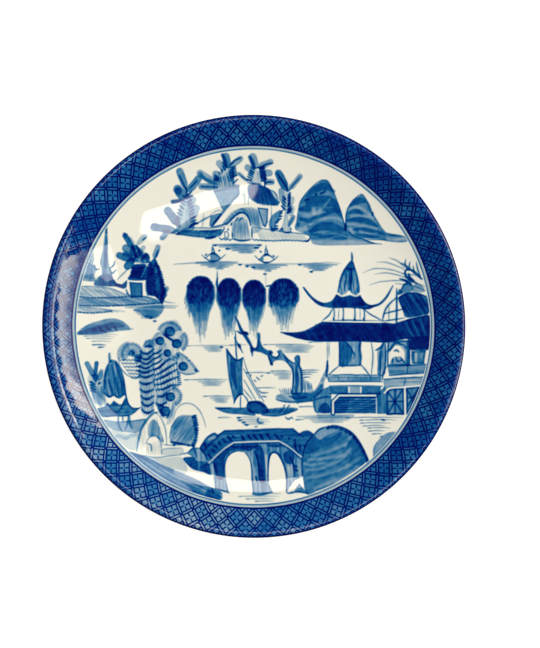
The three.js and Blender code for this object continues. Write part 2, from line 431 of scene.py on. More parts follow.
def mountains():
    mountain([(26, 60.5), (26.6, 66), (27.6, 73), (29, 78.5), (33.5, 84.3), (38, 88), (43.3, 91.2),
              (47, 89.5), (51, 80), (54.5, 71.5), (56.8, 63), (60.5, 58), (66, 54.8), (75, 51.6),
              (55, 50.8), (38, 51.2), (34.5, 56.5)],
             [([(33, 81), (38, 85), (44, 87), (50, 84)], 4.5),
              ([(29, 73), (34, 74), (37, 78), (49, 77), (53, 72)], 6.5),
              ([(29, 67), (36, 66), (42, 70), (50, 72.5), (54, 69)], 4.2),
              ([(35, 59), (42, 62.5), (50, 62), (57, 60)], 5.5),
              ([(36, 57.5), (44, 57), (52, 58), (58, 57)], 3.2), ([(27.2, 62), (28, 65)], 2),
              ([(50, 55), (58, 55)], 2.4)], [([(37, 73.5), (38.5, 70), (41.5, 72)], 2.6),
                                             ([(31, 69), (37, 70), (44, 71.5)], 1.2),
                                             ([(35, 63.5), (40, 66.8), (50, 67.8), (55, 66)], 1.5),
                                             ([(44, 75), (47, 79)], 1.4),
                                             ([(43, 58), (50, 58.2), (57, 57)], 1.1),
                                             ([(28.5, 60), (32, 61)], 3.4),
                                             ([(36, 52.3), (60, 52.3), (72, 51.8)], 3.6)])
    mountain([(59.6, 58.7), (57.2, 63.5), (57.1, 69), (58.3, 74), (61.5, 77.8), (65, 80.5), (66.8, 82.4),
              (68.3, 80.8), (71.5, 76.5), (74, 70.5), (77.3, 65), (80.5, 60.3), (83.5, 58.2), (92, 56.6),
              (96, 53.8), (92, 52.4), (84, 53), (76, 54.6), (66, 55.4)],
             [([(60, 75.5), (65, 78.5), (69, 77.5)], 4), ([(58.6, 70.5), (63, 72), (67.5, 70)], 2.8),
              ([(58, 66), (64, 67), (71, 65.3), (77, 62.5)], 3.4),
              ([(62, 60.5), (69, 60.5), (76, 59), (81.5, 57.3)], 3.2),
              ([(63, 57.6), (70, 56.6), (79, 55.8)], 2), ([(83, 57.2), (92, 56)], 1.3)],
             [([(59, 73), (64, 74.6), (69, 72), (72, 69.5)], 1.8),
              ([(61, 68.8), (67, 69), (74, 67.8)], 1.8),
              ([(59, 64), (65, 63.2), (71, 62), (76, 60.6)], 1.6),
              ([(66, 59.6), (72, 58.2), (76, 58)], 1.2), ([(61.5, 59), (60, 61)], 2.4),
              ([(83, 54.6), (94, 54.4)], 2.2)])
    brush([(28, 75), (33.5, 84.2), (43, 91), (50, 82.5), (56.6, 63.5), (57.5, 60.5)], 0.6, MIDDLE, 0.6, 1)
    brush([(57.4, 62), (58.2, 73), (66.8, 82), (73.5, 70), (78, 63.5)], 0.6, MIDDLE, 1, 0.5)
    brush([(57.2, 60), (56.9, 64.5)], 1.5, DEEP, 0.6, 0.5)
    brush([(73.5, 69), (73.9, 71)], 1.0, DEEP)
    brush([(59, 59), (62, 56.6), (67, 55), (71.5, 52.9), (75, 51.9), (79.5, 51.4)], 1.0, STRONG, 0.7, 0.3)
    brush([(68, 54.2), (76, 54.2), (83, 53.9)], 0.7, MIDDLE)
    for x, y, dx in ((33, 79, 1.5), (38.7, 82.2, 0.6), (42, 83, 1.0), (43.8, 83.8, 0.6)):
        brush([(x - dx, y - 0.4), (x + dx, y + 0.3)], 1.1, LINE)


def far_trees():
    leaf((-41.5, 84), (-46, 95.5), 4.4, MIDDLE)
    brush([(-41.4, 83.5), (-46.5, 93.5)], 1.0, DEEP)
    leaf((-40.5, 83.5), (-34.5, 91.2), 4.6, MIDDLE)
    brush([(-39.5, 85.5), (-35.2, 90.4)], 1.1, STRONG)
    leaf((-42.5, 79), (-47.2, 84.6), 6.0, MIDDLE)
    brush([(-46.3, 82.6), (-47.3, 84.4)], 4.4, STRONG)
    leaf((-43.5, 78), (-50.3, 77), 2.4, STRONG)
    brush([(-44.5, 77.8), (-50.6, 76)], 1.0, DEEP)
    leaf((-46, 62), (-53.2, 71.5), 5.4, STRONG)
    leaf((-47, 59), (-61.5, 61.3), 4.8, STRONG)
    brush([(-48.5, 57.6), (-57, 58.9)], 0.9, DEEP)
    leaf((-52, 60), (-56.6, 54.8), 3.2, MIDDLE)
    leaf((-40, 74), (-37.5, 78.5), 4.5, LIGHT)
    leaf((-39, 67), (-35.6, 73.2), 5, LIGHT)
    trunk((-42.5, 60.5), (-41.4, 80), 5.5, 9, LIGHT, DEEP)
    for a, b in (((-41, 79.6), (-38, 81)), ((-41.3, 80.5), (-38.2, 83.8)), ((-41.4, 79.5), (-41.8, 85.5))):
        brush([a, b], 1.0, DEEP)
    # The second tree leans out over the gable
    leaf((-16.5, 98.5), (-19.6, 106), 2.4, MIDDLE, STRONG)
    leaf((-16.3, 98.5), (-17.5, 105), 5.2, MIDDLE)
    leaf((-15.3, 98.5), (-8.5, 103.8), 3.8, LIGHT)
    brush([(-15.3, 99), (-12, 102.6), (-8.2, 104.4)], 1.1, DEEP)
    leaf((-18, 97), (-21.7, 101), 4.4, LIGHT)
    leaf((-21, 90), (-23.6, 94.2), 4.6, LIGHT)
    leaf((-22.5, 88), (-33.4, 94.6), 4.6, LIGHT)
    brush([(-23.5, 88.5), (-30, 91.2), (-33.2, 94.4)], 1.9, MIDDLE, 0.3, 1)
    leaf((-22.5, 86.3), (-32.6, 86.6), 4.4, LIGHT, STRONG)
    leaf((-15, 90), (-14.2, 95), 3.6, LIGHT)
    wash([(-24, 84.5), (-24.5, 90), (-19, 97.5), (-15, 98), (-12.5, 90), (-11, 86.5)], PALE, grain=90,
         streak=0.6)
    hatch([(-22, 90), (-15.5, 97)], [(-21, 86), (-13, 87)], 6, 0.8, MIDDLE)
    dashes([(-20.8, 94.5), (-18.6, 96.2), (-16.8, 98.2)], [(-22.2, 95.6), (-19.7, 98.2), (-19.4, 101.6)], 4,
           1.0, STRONG)
    dashes([(-21.5, 91.5), (-22.6, 90.3)], [(-24.3, 94), (-25, 90.8)], 4)
    dashes([(-14.6, 98.3), (-14.4, 92.3)], [(-11.6, 99.2), (-10.3, 93.6)], 6)
    brush([(-13.2, 98), (-12.6, 88.5)], 1.2, STRONG)
    brush([(-12.6, 88.8), (-10, 91.4)], 0.9, DEEP)
    brush([(-24.2, 84), (-18, 85.4), (-9.6, 87)], 1.7, STRONG, 0.8, 1)
    # The third rises behind the thatch
    leaf((0.8, 97.8), (-2.6, 105), 2.6, MIDDLE, STRONG)
    leaf((1.5, 98), (-0.8, 105), 4.6, LIGHT)
    leaf((2.6, 98.5), (10.2, 102), 4.2, LIGHT)
    brush([(1.2, 98.3), (4.6, 99), (8.5, 100.8), (11.6, 101.2)], 1.1, DEEP)
    leaf((0, 95.5), (-4, 98.6), 4.0, LIGHT)
    leaf((-4, 90.3), (-9.2, 94.8), 2.2, LIGHT)
    brush([(-3.6, 89.6), (-7, 92.6), (-9.4, 94.6)], 0.9, MIDDLE)
    leaf((6, 95.3), (9.6, 95.2), 4.2, LIGHT)
    leaf((7, 89.6), (11.2, 89.8), 3.8, LIGHT)
    brush([(7, 88.6), (9, 89.8), (12, 89.4)], 1.0, DEEP)
    wash([(-1.6, 89), (-0.8, 94), (1.4, 97), (3.6, 95), (4.4, 89)], PALE, grain=90, streak=0.5)
    dashes([(0.6, 98), (-1.5, 90.3)], [(-1.6, 99.6), (-4.4, 91.6)], 7)
    dashes([(3.3, 98.4), (4.9, 90.4)], [(6.3, 98.9), (7.8, 91.6)], 8, 1.2)
    brush([(6.8, 96), (6.9, 86)], 1.1, DEEP)
    brush([(-3.5, 89.2), (1, 88.6), (4.5, 88.4)], 1.0, STRONG)


def far_house():
    # The gable on the left, then the thatch and walls on the right
    wash([(-25, 84), (-15, 85.2), (-9.9, 86.2), (-9.6, 81.4), (-12.5, 78.6), (-19, 71.8), (-22, 77.4)],
         MIDDLE, smooth=False)
    brush([(-9.8, 86.5), (-9.4, 82), (-12.5, 78.6), (-18, 72.2), (-25.8, 62)], 1.3, MIDDLE, 1, 0.8)
    wash([(-26.8, 68.4), (-23, 70), (-19.6, 70.6), (-26.2, 61.6), (-27.6, 62.5)], MIDDLE, smooth=False)
    brush([(-20, 70), (-26, 62)], 1.3, DEEP)
    brush([(-26.5, 69.4), (-22.5, 71.9), (-18.6, 71.2)], 0.9, PALE)
    brush([(-31.8, 61.5), (-31, 70)], 1.4, FAINT)
    brush([(-36, 63.4), (-31, 66.2), (-26, 69)], 1.0, MIDDLE)
    clear([(-5.6, 83), (-3.2, 85), (-3.2, 81), (1, 76.6), (14, 76.4), (11.5, 62), (0, 62.2), (-6, 74)],
          smooth=False)
    roof = [(-3.3, 87.6), (-3.1, 81.2), (0.4, 77.8), (3, 76.6), (9, 75.6), (14.2, 75.4), (16.2, 77.4),
            (13, 80.4), (9.2, 85.6), (3, 88)]
    wash(roof, STRONG)
    hatch([(-2.6, 88), (3.5, 88), (9.2, 85.6)], [(-2.8, 79.8), (4.5, 75.8), (14.8, 75.3)], 15, 1.0, MIDDLE,
          0.6)
    brush([(10, 84.8), (13, 82.6), (14.8, 79.6)], 2.0, PALE)
    brush([(10, 85.2), (13.4, 82.8), (15.2, 79)], 0.6, MIDDLE)
    for x, top, bottom in ((-5.6, 83.2, 75.5), (-3.4, 80.5, 75.6), (11, 75, 62.5), (-6.6, 82.8, 80.8)):
        brush([(x, top), (x + 0.1, bottom)], 0.7, LIGHT)
    window = [(2.8, 73.6), (8.6, 73), (8.3, 65), (7.2, 62.2), (6.2, 62.8)]
    wash(window, LIGHT, smooth=False)
    outline(window, 0.7, STRONG, smooth=False)


def near_mounds():
    wash([(-19, 63.4), (-14, 70), (-8, 73.6), (0, 73.8), (4, 70), (5, 61), (-1, 58), (-2, 66), (-8, 70)],
         PALE)
    hatch([(-19, 64.6), (-13, 71.6), (-5, 73.6), (2.6, 72)], [(-15, 62), (-11, 66), (-4, 66), (3.6, 61)],
          22, 0.8, LIGHT, 0.3)
    brush([(-8.6, 72.8), (-6.2, 72.8), (-5.4, 71)], 1.4, LIGHT)
    dome = [(-20.5, 56.5), (-17.4, 61), (-14.3, 66), (-11, 69.2), (-8, 70.6), (-5, 70), (-2.9, 67),
            (-1.6, 62), (-1, 54)]
    clear(dome + [(-13, 53.6)], keep=0.3)
    hatch([(-12.8, 65), (-8, 67.8), (-4.2, 66)], [(-13.2, 54.4), (-8, 54), (-2.4, 54.6)], 12, 1.0, LIGHT,
          0.3)
    brush([(-25, 61.8), (-19.5, 63), (-16.2, 64.2), (-13.6, 66.8), (-11, 69.2), (-8, 70.7), (-5, 70),
           (-2.9, 67), (-1.9, 63)], 1.1, DEEP, 0.5, 0.7)
    brush([(-1.2, 61), (-0.9, 54.4)], 0.9, STRONG)
    for a, b in (((-18, 61.2), (-20.8, 56.4)), ((-13.6, 64.6), (-14, 62.6)), ((-11.2, 65.4), (-9.6, 67.8)),
                 ((-9.4, 65.4), (-7, 67.8)), ((-16, 60.8), (-15.8, 59.6)), ((-13.4, 58), (-13, 55.4))):
        brush([a, b], 1.0, STRONG)
    outline([(-18, 58.6), (-16.2, 58.8), (-15.6, 56), (-17.6, 55)], 0.7, MIDDLE)
    scallops([(-21, 54.9), (-17, 54.6), (-13.4, 54.4)], 3, 0.8, STRONG)
    brush([(-12.6, 54.2), (-7.5, 53.4), (-2, 54)], 1.2, DEEP)
    # The ground on either side
    wash([(-47, 57), (-45, 60), (-32, 59.6), (-19.6, 60.4), (-21, 57), (-24, 54.8), (-34, 55.4)], LIGHT,
         smooth=False)
    hatch([(-46, 57.2), (-33, 56), (-22, 55.4)], [(-43.6, 60), (-31, 59.7), (-19.8, 60.2)], 26, 0.6, STRONG,
          0.4)
    brush([(-33, 59.2), (-26, 58.9), (-20, 60.2)], 1.4, STRONG)
    brush([(-48, 57), (-44, 56.8), (-36, 55.8), (-24, 55)], 0.8, STRONG, 0.9, 0.5)
    brush([(-44, 60.6), (-40, 61), (-32, 61), (-26, 61.1), (-18, 62)], 0.8, MIDDLE)
    brush([(-40, 61.4), (-36.5, 63.8), (-34.6, 63.9)], 1.8, DEEP)
    brush([(-47.6, 57.1), (-45.8, 58)], 1.3, LINE)
    brush([(-30, 54.7), (-27, 54.9), (-23.6, 55.8)], 1.5, DEEP)
    hatch([(1, 60.4), (12, 59.4), (30, 57.4)], [(5, 53.8), (17, 53.8), (34, 53.6)], 25, 0.55, PALE, 0.3)
    brush([(-0.5, 61.9), (4, 61), (12, 60), (20, 58.8), (30, 57.8), (34, 57), (35.2, 55.2), (33.6, 53.2)],
          0.7, MIDDLE)
    scallops([(-0.5, 54.3), (10, 53.6), (22, 54), (34, 53.4)], 15, 0.8, STRONG, 0.5)
    brush([(31, 53.2), (34, 53.6), (35, 55.4)], 1.0, DEEP)
    # The bush and the tree at the right end
    brush([(12, 60.8), (11.6, 64), (13.6, 68), (16.2, 71.4)], 4.6, MIDDLE, 0.8, 0.5)
    dashes([(13.4, 61), (13.6, 64.4), (15.8, 67.6), (16.8, 71.6)],
           [(15.2, 60.8), (15, 65.4), (17, 67), (18.2, 72.4)], 8, 1.1)
    brush([(11, 62), (12, 60.2), (13.4, 60.8)], 1.3, DEEP)
    wash([(17, 59.2), (18.4, 66), (19.6, 74), (19.6, 84), (22.4, 84.6), (22.6, 76), (21.4, 68), (23.4, 59)],
         PALE, grain=88)
    leaf((17.8, 77), (17.2, 84.4), 3.8, LIGHT)
    leaf((22.6, 75), (23.8, 79.4), 3.4, PALE)
    leaf((22.6, 69), (24, 73.4), 3.4, PALE)
    leaf((21.8, 62.5), (24.6, 68.2), 3.0, LIGHT, MIDDLE)
    leaf((20.6, 84.5), (15.3, 95), 5.2, STRONG)
    brush([(20.2, 87), (16.5, 92), (14.8, 95)], 1.4, DEEP)
    leaf((21.4, 84.4), (28.6, 93.2), 3.6, LIGHT)
    brush([(22, 85), (26, 90), (28.6, 92.8)], 1.0, STRONG)
    brush([(21.2, 84.4), (20, 87), (18.6, 89)], 1.2, DEEP)
    dashes([(19.8, 79.2), (19.4, 72.8)], [(18.2, 80.8), (17.4, 75)], 4, 1.2)
    dashes([(21.4, 81.6), (21.4, 79.4), (21.4, 77), (21, 71)],
           [(22.8, 83.2), (22.8, 80.6), (22.6, 78), (23.6, 73.2)], 7, 1.1)
    brush([(20.6, 70.4), (23.6, 71.6)], 1.0, STRONG)
    brush([(16, 59.4), (17.6, 61), (18, 59.4)], 1.2, DEEP)
    brush([(18.8, 58.8), (21, 58.5), (23.4, 59)], 1.0, DEEP)
    brush([(22.9, 60.3), (23.3, 61)], 0.9, STRONG)


def small_boat(x, y, mirror):
    """A sampan with a curved hull, a hatched awning and a tall cabin"""
    m = mirror
    brush([(x - 7.2 * m, y + 2), (x - 4.2 * m, y - 0.6), (x, y - 2.2), (x + 4 * m, y - 0.8),
           (x + 7.4 * m, y + 2.2)], 0.8, STRONG)
    wash([(x - 1.6, y - 2), (x - 1.4, y + 2.4), (x + 1.4, y + 2.8), (x + 4.6 * m, y - 0.2), (x + 1, y - 2)],
         MIDDLE)
    brush([(x - 4.8 * m, y), (x - 1.8 * m, y + 2.4), (x + 1.2 * m, y + 2.6), (x + 4.4 * m, y)], 0.9, STRONG)
    brush([(x - 1.4, y + 2.8), (x, y + 3.2), (x + 1.5, y + 2.4)], 1.2, DEEP)
    brush([(x - 1, y + 3), (x - 0.2, y + 8.8)], 0.9, MIDDLE)
    brush([(x + 1, y + 3), (x - 0.1, y + 6.6)], 0.8, STRONG)
    brush([(x + 3.2 * m, y + 4.4), (x + 4.2 * m, y + 5)], 1.1, STRONG)
    brush([(x - 5 * m, y + 1.4), (x - 4 * m, y + 2.4)], 1.1, STRONG)
    brush([(x - 2, y - 2), (x + 1.6, y - 2)], 1.0, DEEP)


def far_water():
    stepped(-24, 5, 50.6, 5, 0.5, LIGHT, 3.4)
    brush([(-24, 50.6), (-10, 50.6), (5, 50.4)], 0.9, PALE)
    for x, y, reach in ((-23.8, 50.3, 1), (-16.2, 48.2, 1.2), (1.8, 48.9, 1.4), (3.4, 50.6, 1.4)):
        brush([(x - reach, y), (x + reach, y)], 1.1, DEEP)
    small_boat(-25, 42.4, 1)
    small_boat(8, 41.8, -1)
    brush([(-49.5, 38.4), (-38, 39.2), (-24, 40.2), (-10, 40)], 0.9, LIGHT)
    stepped(-36, -10, 39.2, 4, 0.8, LIGHT, 4.2)
    brush([(-9.4, 38.7), (0, 38.8), (24, 39), (36, 39.4), (46, 40), (54, 39.6)], 0.9, PALE)
    stepped(-5, 21, 38, 5, 1.1, LIGHT, 3.6)
    stepped(29, 52, 38.6, 5, 1.2, LIGHT, 2.4)
    for x, y in ((-8.4, 38.4), (0, 36.6), (28.6, 38.5), (35.8, 34.2), (-4, 37.4), (7, 32.6)):
        brush([(x - 0.9, y), (x + 0.9, y)], 1.1, DEEP)


def willow(x, y, wide, low, strands):
    """A hanging clump: a dark dotted crown over long strands that pale towards their tips"""
    def crown(u):
        return y - 1 - 6 * abs(u) ** 2.6

    for layer, tone in ((1.0, PALE), (0.8, PALE), (0.6, LIGHT)):
        for u in np.linspace(-0.97, 0.97, strands):
            u += draws.uniform(-0.05, 0.05)
            foot = (y - low) * layer * (1 - 0.36 * u * u) - draws.uniform(0, 8) * layer
            bend = x + wide * (0.5 + 0.25 * abs(u)) * u
            brush([(x + wide * 0.96 * u, crown(u)), (x + wide * 0.98 * u, y - 14), (bend, y - foot)], 1.9,
                  tone, 1, 0.4, fade=0.15)
    for u in np.linspace(-0.95, 0.95, 2 * strands):
        brush([(x + wide * u, crown(u)), (x + wide * u, crown(u) - draws.uniform(8, 15))], 1.2, PALE, 1,
              0.4, fade=0.7)
    for _ in range(int(wide * 20)):
        u, v = draws.uniform(-0.97, 0.97), draws.uniform(0, 1) ** 1.6
        px, py = x + wide * u * (1 - 0.06 * v), crown(u) + 0.3 - v * (17 - 6 * abs(u))
        lean = 0.35 * u + draws.uniform(-0.25, 0.25)
        brush([(px, py), (px - lean, py - 0.9), (px - 1.2 * lean, py - 1.9)], 0.8, DEEP * (1.1 - 0.5 * v),
              0.9, 0.4)


def willows():
    for x, y, wide, low in ((-32.8, 31.4, 8.2, -11), (-15.3, 30.2, 7.0, -12), (0.3, 29.2, 7.0, -9),
                            (18.6, 30.2, 9.0, -7)):
        willow(x, y, wide, low, 13)
    hatch([(-40, 23), (-40, 17), (-39, 12)], [(-43, 16.4), (-42.4, 12), (-39.8, 5.4)], 5, 1.4, LIGHT, 0.3,
          start=1, end=0.4)
    brush([(-22.6, 34.4), (-22.5, 31), (-22.4, 28)], 1.1, LIGHT)
    brush([(-22.5, 30), (-22.7, 25.4), (-21.4, 22.2)], 1.5, DEEP, 0.4, 0.8)
    brush([(7.4, 32.4), (7.5, 27.6), (7.7, 25.8)], 0.8, FAINT)
    brush([(7.6, 25), (9.4, 25.4), (11, 25.6)], 0.9, DEEP)
    leaf((10.8, 18), (9.5, 13.2), 1.8, PALE)


RING_RADIUS = 109.2


def ring_band(from_angle, to_angle, depths):
    """The outline of a band against the ring line, its inner edge first, with its depth at even steps"""
    angles = np.radians(np.linspace(from_angle, to_angle, len(depths)))
    inner = [((RING_RADIUS - d) * math.cos(a), (RING_RADIUS - d) * math.sin(a))
             for a, d in zip(angles, depths)]
    outer = [(RING_RADIUS * math.cos(a), RING_RADIUS * math.sin(a)) for a in angles]
    return inner + outer[::-1]


def left_shore():
    # A dark spire on the far left, with its hazy neighbours
    wash([(-99.2, 46.4), (-102.6, 43), (-106, 35), (-107.6, 27.6), (-97, 27), (-98.6, 31), (-96.6, 34.6),
          (-99.4, 37.4), (-98.4, 41)], LIGHT, smooth=False, grain=80, streak=0.5)
    hatch([(-106.6, 30.5), (-103, 39)], [(-98.4, 29), (-99.6, 36.6)], 5, 1.6, PALE)
    spire = [(-91.4, 61.4), (-92.4, 54), (-93.4, 46), (-94.8, 39), (-93.8, 34), (-94.4, 30), (-98.4, 25.4),
             (-92, 24.6), (-84, 24.8), (-86.6, 28), (-88.2, 33.5), (-89.6, 39), (-90.2, 46), (-90.4, 55)]
    wash(spire, MIDDLE, grain=84, streak=0.35)
    brush([(-91.3, 55), (-91.6, 46), (-91.4, 36)], 1.8, LIGHT)
    wash([(-94.6, 31), (-98.6, 25.2), (-90, 24.4), (-80, 24.8), (-85.8, 27), (-88, 31.6)], MIDDLE, grain=0)
    brush([(-91.2, 62), (-91, 57)], 1.3, MIDDLE, 0.3, 1)
    for a, b, c in (((-98.6, 37.5), (-97.4, 34.8), (-95.2, 35)), ((-89, 36), (-87.6, 32.4), (-85, 34.6)),
                    ((-88.8, 35.6), (-86.6, 37.6), (-85.8, 40))):
        brush([a, b, c], 0.9, STRONG)
    wash([(-87.2, 29.5), (-84.6, 26.2), (-81.4, 25.6), (-78.2, 28.4), (-78.6, 24), (-80.4, 23),
          (-85, 24.4)], DEEP, smooth=False)
    brush([(-84, 28.8), (-81, 32), (-77.6, 35.2)], 0.9, LIGHT)
    # The house under its leaves
    wash([(-74.8, 37.6), (-75.4, 33), (-77.8, 29), (-72, 28.2), (-66, 29), (-64.8, 33), (-66.6, 38),
          (-70, 38.4)], DEEP)
    dashes([(-75, 35.6), (-76, 30.4)], [(-67, 36.4), (-67, 29.6)], 5, 1.7, DEEP)
    scratch([(-66.4, 37.4), (-67.6, 34), (-69.4, 30.2)], 0.8, 0.6)
    door = [(-76.4, 26.9), (-69.2, 26.4), (-68.9, 18.2), (-75.4, 17.9)]
    wash(door, STRONG, smooth=False)
    outline(door, 0.8, STRONG, smooth=False)
    brush([(-78.9, 22.8), (-77.6, 19.6), (-76, 18.4)], 1.0, STRONG)
    brush([(-66.4, 29), (-66.4, 24), (-65.6, 18.8)], 0.9, STRONG)
    leaf((-74.5, 47.5), (-79.4, 55.6), 3.6, STRONG)
    brush([(-80.4, 57.6), (-79, 55)], 1.2, STRONG, 0.3, 1)
    leaf((-74, 49), (-76.8, 54), 3.0, PALE)
    leaf((-72.5, 50), (-67.4, 55.6), 3.4, PALE)
    brush([(-69, 53), (-66.4, 55)], 1.0, STRONG)
    leaf((-75.2, 44), (-79, 48), 4.8, MIDDLE)
    leaf((-74.6, 40.8), (-83, 43.6), 4.4, STRONG)
    leaf((-74.4, 42.6), (-79.6, 44.6), 3.4, LIGHT)
    leaf((-74.6, 41.5), (-78, 37), 4.6, STRONG)
    leaf((-70.4, 46), (-68.2, 48.6), 2.6, PALE)
    brush([(-75.6, 39), (-73, 42), (-71.4, 46)], 2.6, LIGHT)
    wash([(-75.8, 49), (-72.6, 50), (-68, 46), (-65, 44.4), (-64.4, 39.6), (-69.4, 39), (-74.6, 40),
          (-76.6, 44)], MIDDLE, grain=60, streak=0.6)
    dashes([(-75.6, 50), (-74, 44)], [(-73.4, 48), (-72.2, 42.6)], 6, 1.1)
    dashes([(-72.8, 49.6), (-69.6, 41)], [(-71, 47.8), (-67.6, 42.6)], 7, 1.1)
    outline([(-74.6, 39.4), (-72, 40.6), (-68.6, 39.6), (-69.4, 37.6), (-73.6, 37.6)], 0.7, PALE)
    brush([(-74, 41), (-72.4, 43.4), (-71, 42)], 0.9, DEEP)
    wash([(-68.6, 43.4), (-66.6, 45.4), (-64.4, 43.2), (-66.2, 41)], MIDDLE)
    dashes([(-68.4, 43.4), (-66.2, 41)], [(-66, 44.6), (-64.4, 42.6)], 3, 0.9)
    leaf((-61.8, 41.4), (-59.2, 49), 3.4, LIGHT)
    brush([(-61.2, 41.6), (-58.6, 47.6)], 1.3, STRONG)
    # The feathery tree that closes the shore
    feather = [(-66, 31), (-64.8, 38), (-61.4, 41.8), (-59, 38), (-57.4, 32), (-55.8, 26), (-54.6, 20),
               (-56.2, 14.6), (-61, 18.4), (-65.4, 19.6), (-66, 25)]
    wash(feather, DEEP, grain=70)
    dashes([(-65, 40), (-66, 30), (-65.6, 22)], [(-62.6, 37.6), (-63, 27), (-62.6, 19)], 12, 1.2, DEEP)
    dashes([(-60.6, 38.4), (-58.8, 32), (-57.4, 24), (-57.6, 16.6)],
           [(-58.4, 36.8), (-56, 29.4), (-54.8, 21), (-56.6, 14)], 15, 1.1)
    dashes([(-63.4, 36), (-63, 28), (-62, 21)], [(-61, 34.4), (-60.8, 26), (-60, 19)], 8, 1.5, DEEP)
    leaf((-57, 19), (-53.9, 23.4), 3.4, LIGHT)
    dashes([(-56.6, 21.4), (-56, 16.8)], [(-54, 23.4), (-53.8, 19.4)], 4, 0.9, STRONG)


def ground(top, bottom, tone):
    """A low bank of slanting strokes with a row of dark dashes under it"""
    wash(top + bottom[::-1], tone, grain=-12, streak=0.6)
    reach = int(math.dist(top[0], top[-1]))
    hatch(top, [(x + 9, y) for x, y in bottom], max(reach // 3, 4), 1.1, FAINT, 0.6)
    brush(top, 0.6, PALE, 0.8, 0.4)
    brush(bottom, 0.7, LIGHT, 0.8, 0.8)
    for x, y in spaced(bottom, max(int(math.dist(bottom[0], bottom[-1]) / 1.9), 4), 0.4):
        brush([(x - 0.6, y + 0.15), (x + 0.6, y - 0.15)], 1.0, STRONG)


def left_ground():
    ground([(-107.5, 23.8), (-98, 24.2), (-88, 23.2), (-80, 19.6)],
           [(-108.4, 17.6), (-99, 17.2), (-90, 17.4), (-79, 18.2)], PALE)
    ground([(-108.4, 16.2), (-96, 17), (-84, 17.6), (-68, 18.6), (-58, 15.6)],
           [(-109, 12.2), (-92, 12.2), (-78, 13), (-57, 14.4)], LIGHT)
    ground([(-108.8, 11.4), (-98, 11), (-88, 9.8)], [(-109, 8.2), (-100, 7.8), (-88, 9)], PALE)
    wash([(-74, 10.6), (-57, 13.2), (-56, 9.6), (-58.6, 6.4), (-63, 4.6), (-67, 5.4), (-70, 8)], LIGHT,
         grain=0)
    stepped(-84, -47, 12.6, 2, 0.3, PALE, 6)
    stepped(-74, -56, 9.6, 5, 0.6, PALE, 1.6)
    for x, y in ((-66, 6.2), (-61, 3.2), (-63.5, 5.2)):
        brush([(x - 1, y), (x + 0.8, y - 0.1)], 1.2, STRONG)


def low_isle():
    shape = [(-108.6, -5.6), (-107.4, -3), (-104, -0.4), (-99.5, 1.9), (-95.5, 2.9), (-91, 4.3), (-86, 4.6),
             (-81.6, 3.4), (-78.8, 1.4), (-76.7, -0.6), (-76.6, -2.3), (-82, -2.9), (-90, -4.3),
             (-99, -5.6)]
    wash(shape, MIDDLE, grain=4)
    brush([(-106.6, -4.2), (-99, -2.8), (-92.6, -1.6), (-87, 0.4), (-80.6, 0.2)], 4.0, MIDDLE, 0.5, 0.5)
    for a, b, c in (((-96.2, 0.2), (-94, -2.6), (-90.6, -4)), ((-91, -0.4), (-89.8, -2), (-88, -2.6)),
                    ((-86.4, -0.2), (-85.2, -1.4), (-84.4, -2.8)),
                    ((-99.6, -2), (-98, -2.5), (-96.8, -2.2))):
        brush([a, b, c], 1.2, DEEP)
    brush([(-76.6, -2), (-74.2, -1.6)], 0.9, PALE)
    ripples([(-108, -84, -5.4), (-104.6, -86, -6.6), (-103.4, -87, -8), (-99.8, -88, -9.6)], PALE, 0.9)
    ripples([(-99.6, -91, -11.8), (-96, -92, -13.3)], MIDDLE, 0.9)


def fruit(x, y, r):
    turns = [math.radians(a) for a in range(0, 360, 45)]
    wash([(x + r * math.cos(a), y + r * 0.95 * math.sin(a)) for a in turns], STRONG)
    brush([(x - r * math.sin(a), y + r * 0.9 * math.cos(a)) for a in np.linspace(-0.6, 3.4, 6)], 1.1, DEEP,
          0.5, 0.5)
    scratch([(x + r * 0.2, y - r * 0.1), (x + r * 0.5, y - r * 0.4)], 0.5, 0.7)


def fan(x, y, near, far, from_angle, to_angle, count, tone=LIGHT, rim=STRONG):
    """Fine rays out of a point, with a dash on the end of each"""
    angles = np.radians(np.linspace(from_angle, to_angle, count))
    arc = [(x + far * math.cos(a), y + far * math.sin(a)) for a in angles]
    wash([(x, y), (x, y)] + arc, FAINT * 0.5, smooth=False)
    for a in angles:
        c, s = math.cos(a), math.sin(a)
        brush([(x + near * c, y + near * s), (x + far * c, y + far * s)], 0.4, tone)
        brush([(x + (far - 1.3) * c, y + (far - 1.3) * s), (x + (far + 0.5) * c, y + (far + 0.5) * s)], 0.6,
              rim, 0.4, 0.8)


def leafy_rows(rows):
    """Overlapping leaves: a dark swag for the edge of each row, with fine upright lines under it"""
    for row, below in zip(rows, rows[1:]):
        hatch(row, below, 9, 0.45, LIGHT, 0.4)
    for row in rows:
        brush([(x, y + 0.5) for x, y in row], 1.5, LIGHT, 0.4, 0.4)
        brush(row, 0.95, STRONG, 0.6, 0.5)
        inner = spaced(row, 9)[2:-2]
        brush([inner[0], inner[2], inner[-1]], 1.0, DEEP, 0.3, 0.3)
        for x, y in spaced(row, 8, 0.5):
            brush([(x, y + 0.2), (x + 0.1, y - 1.3)], 0.55, MIDDLE, 1, 0.2)


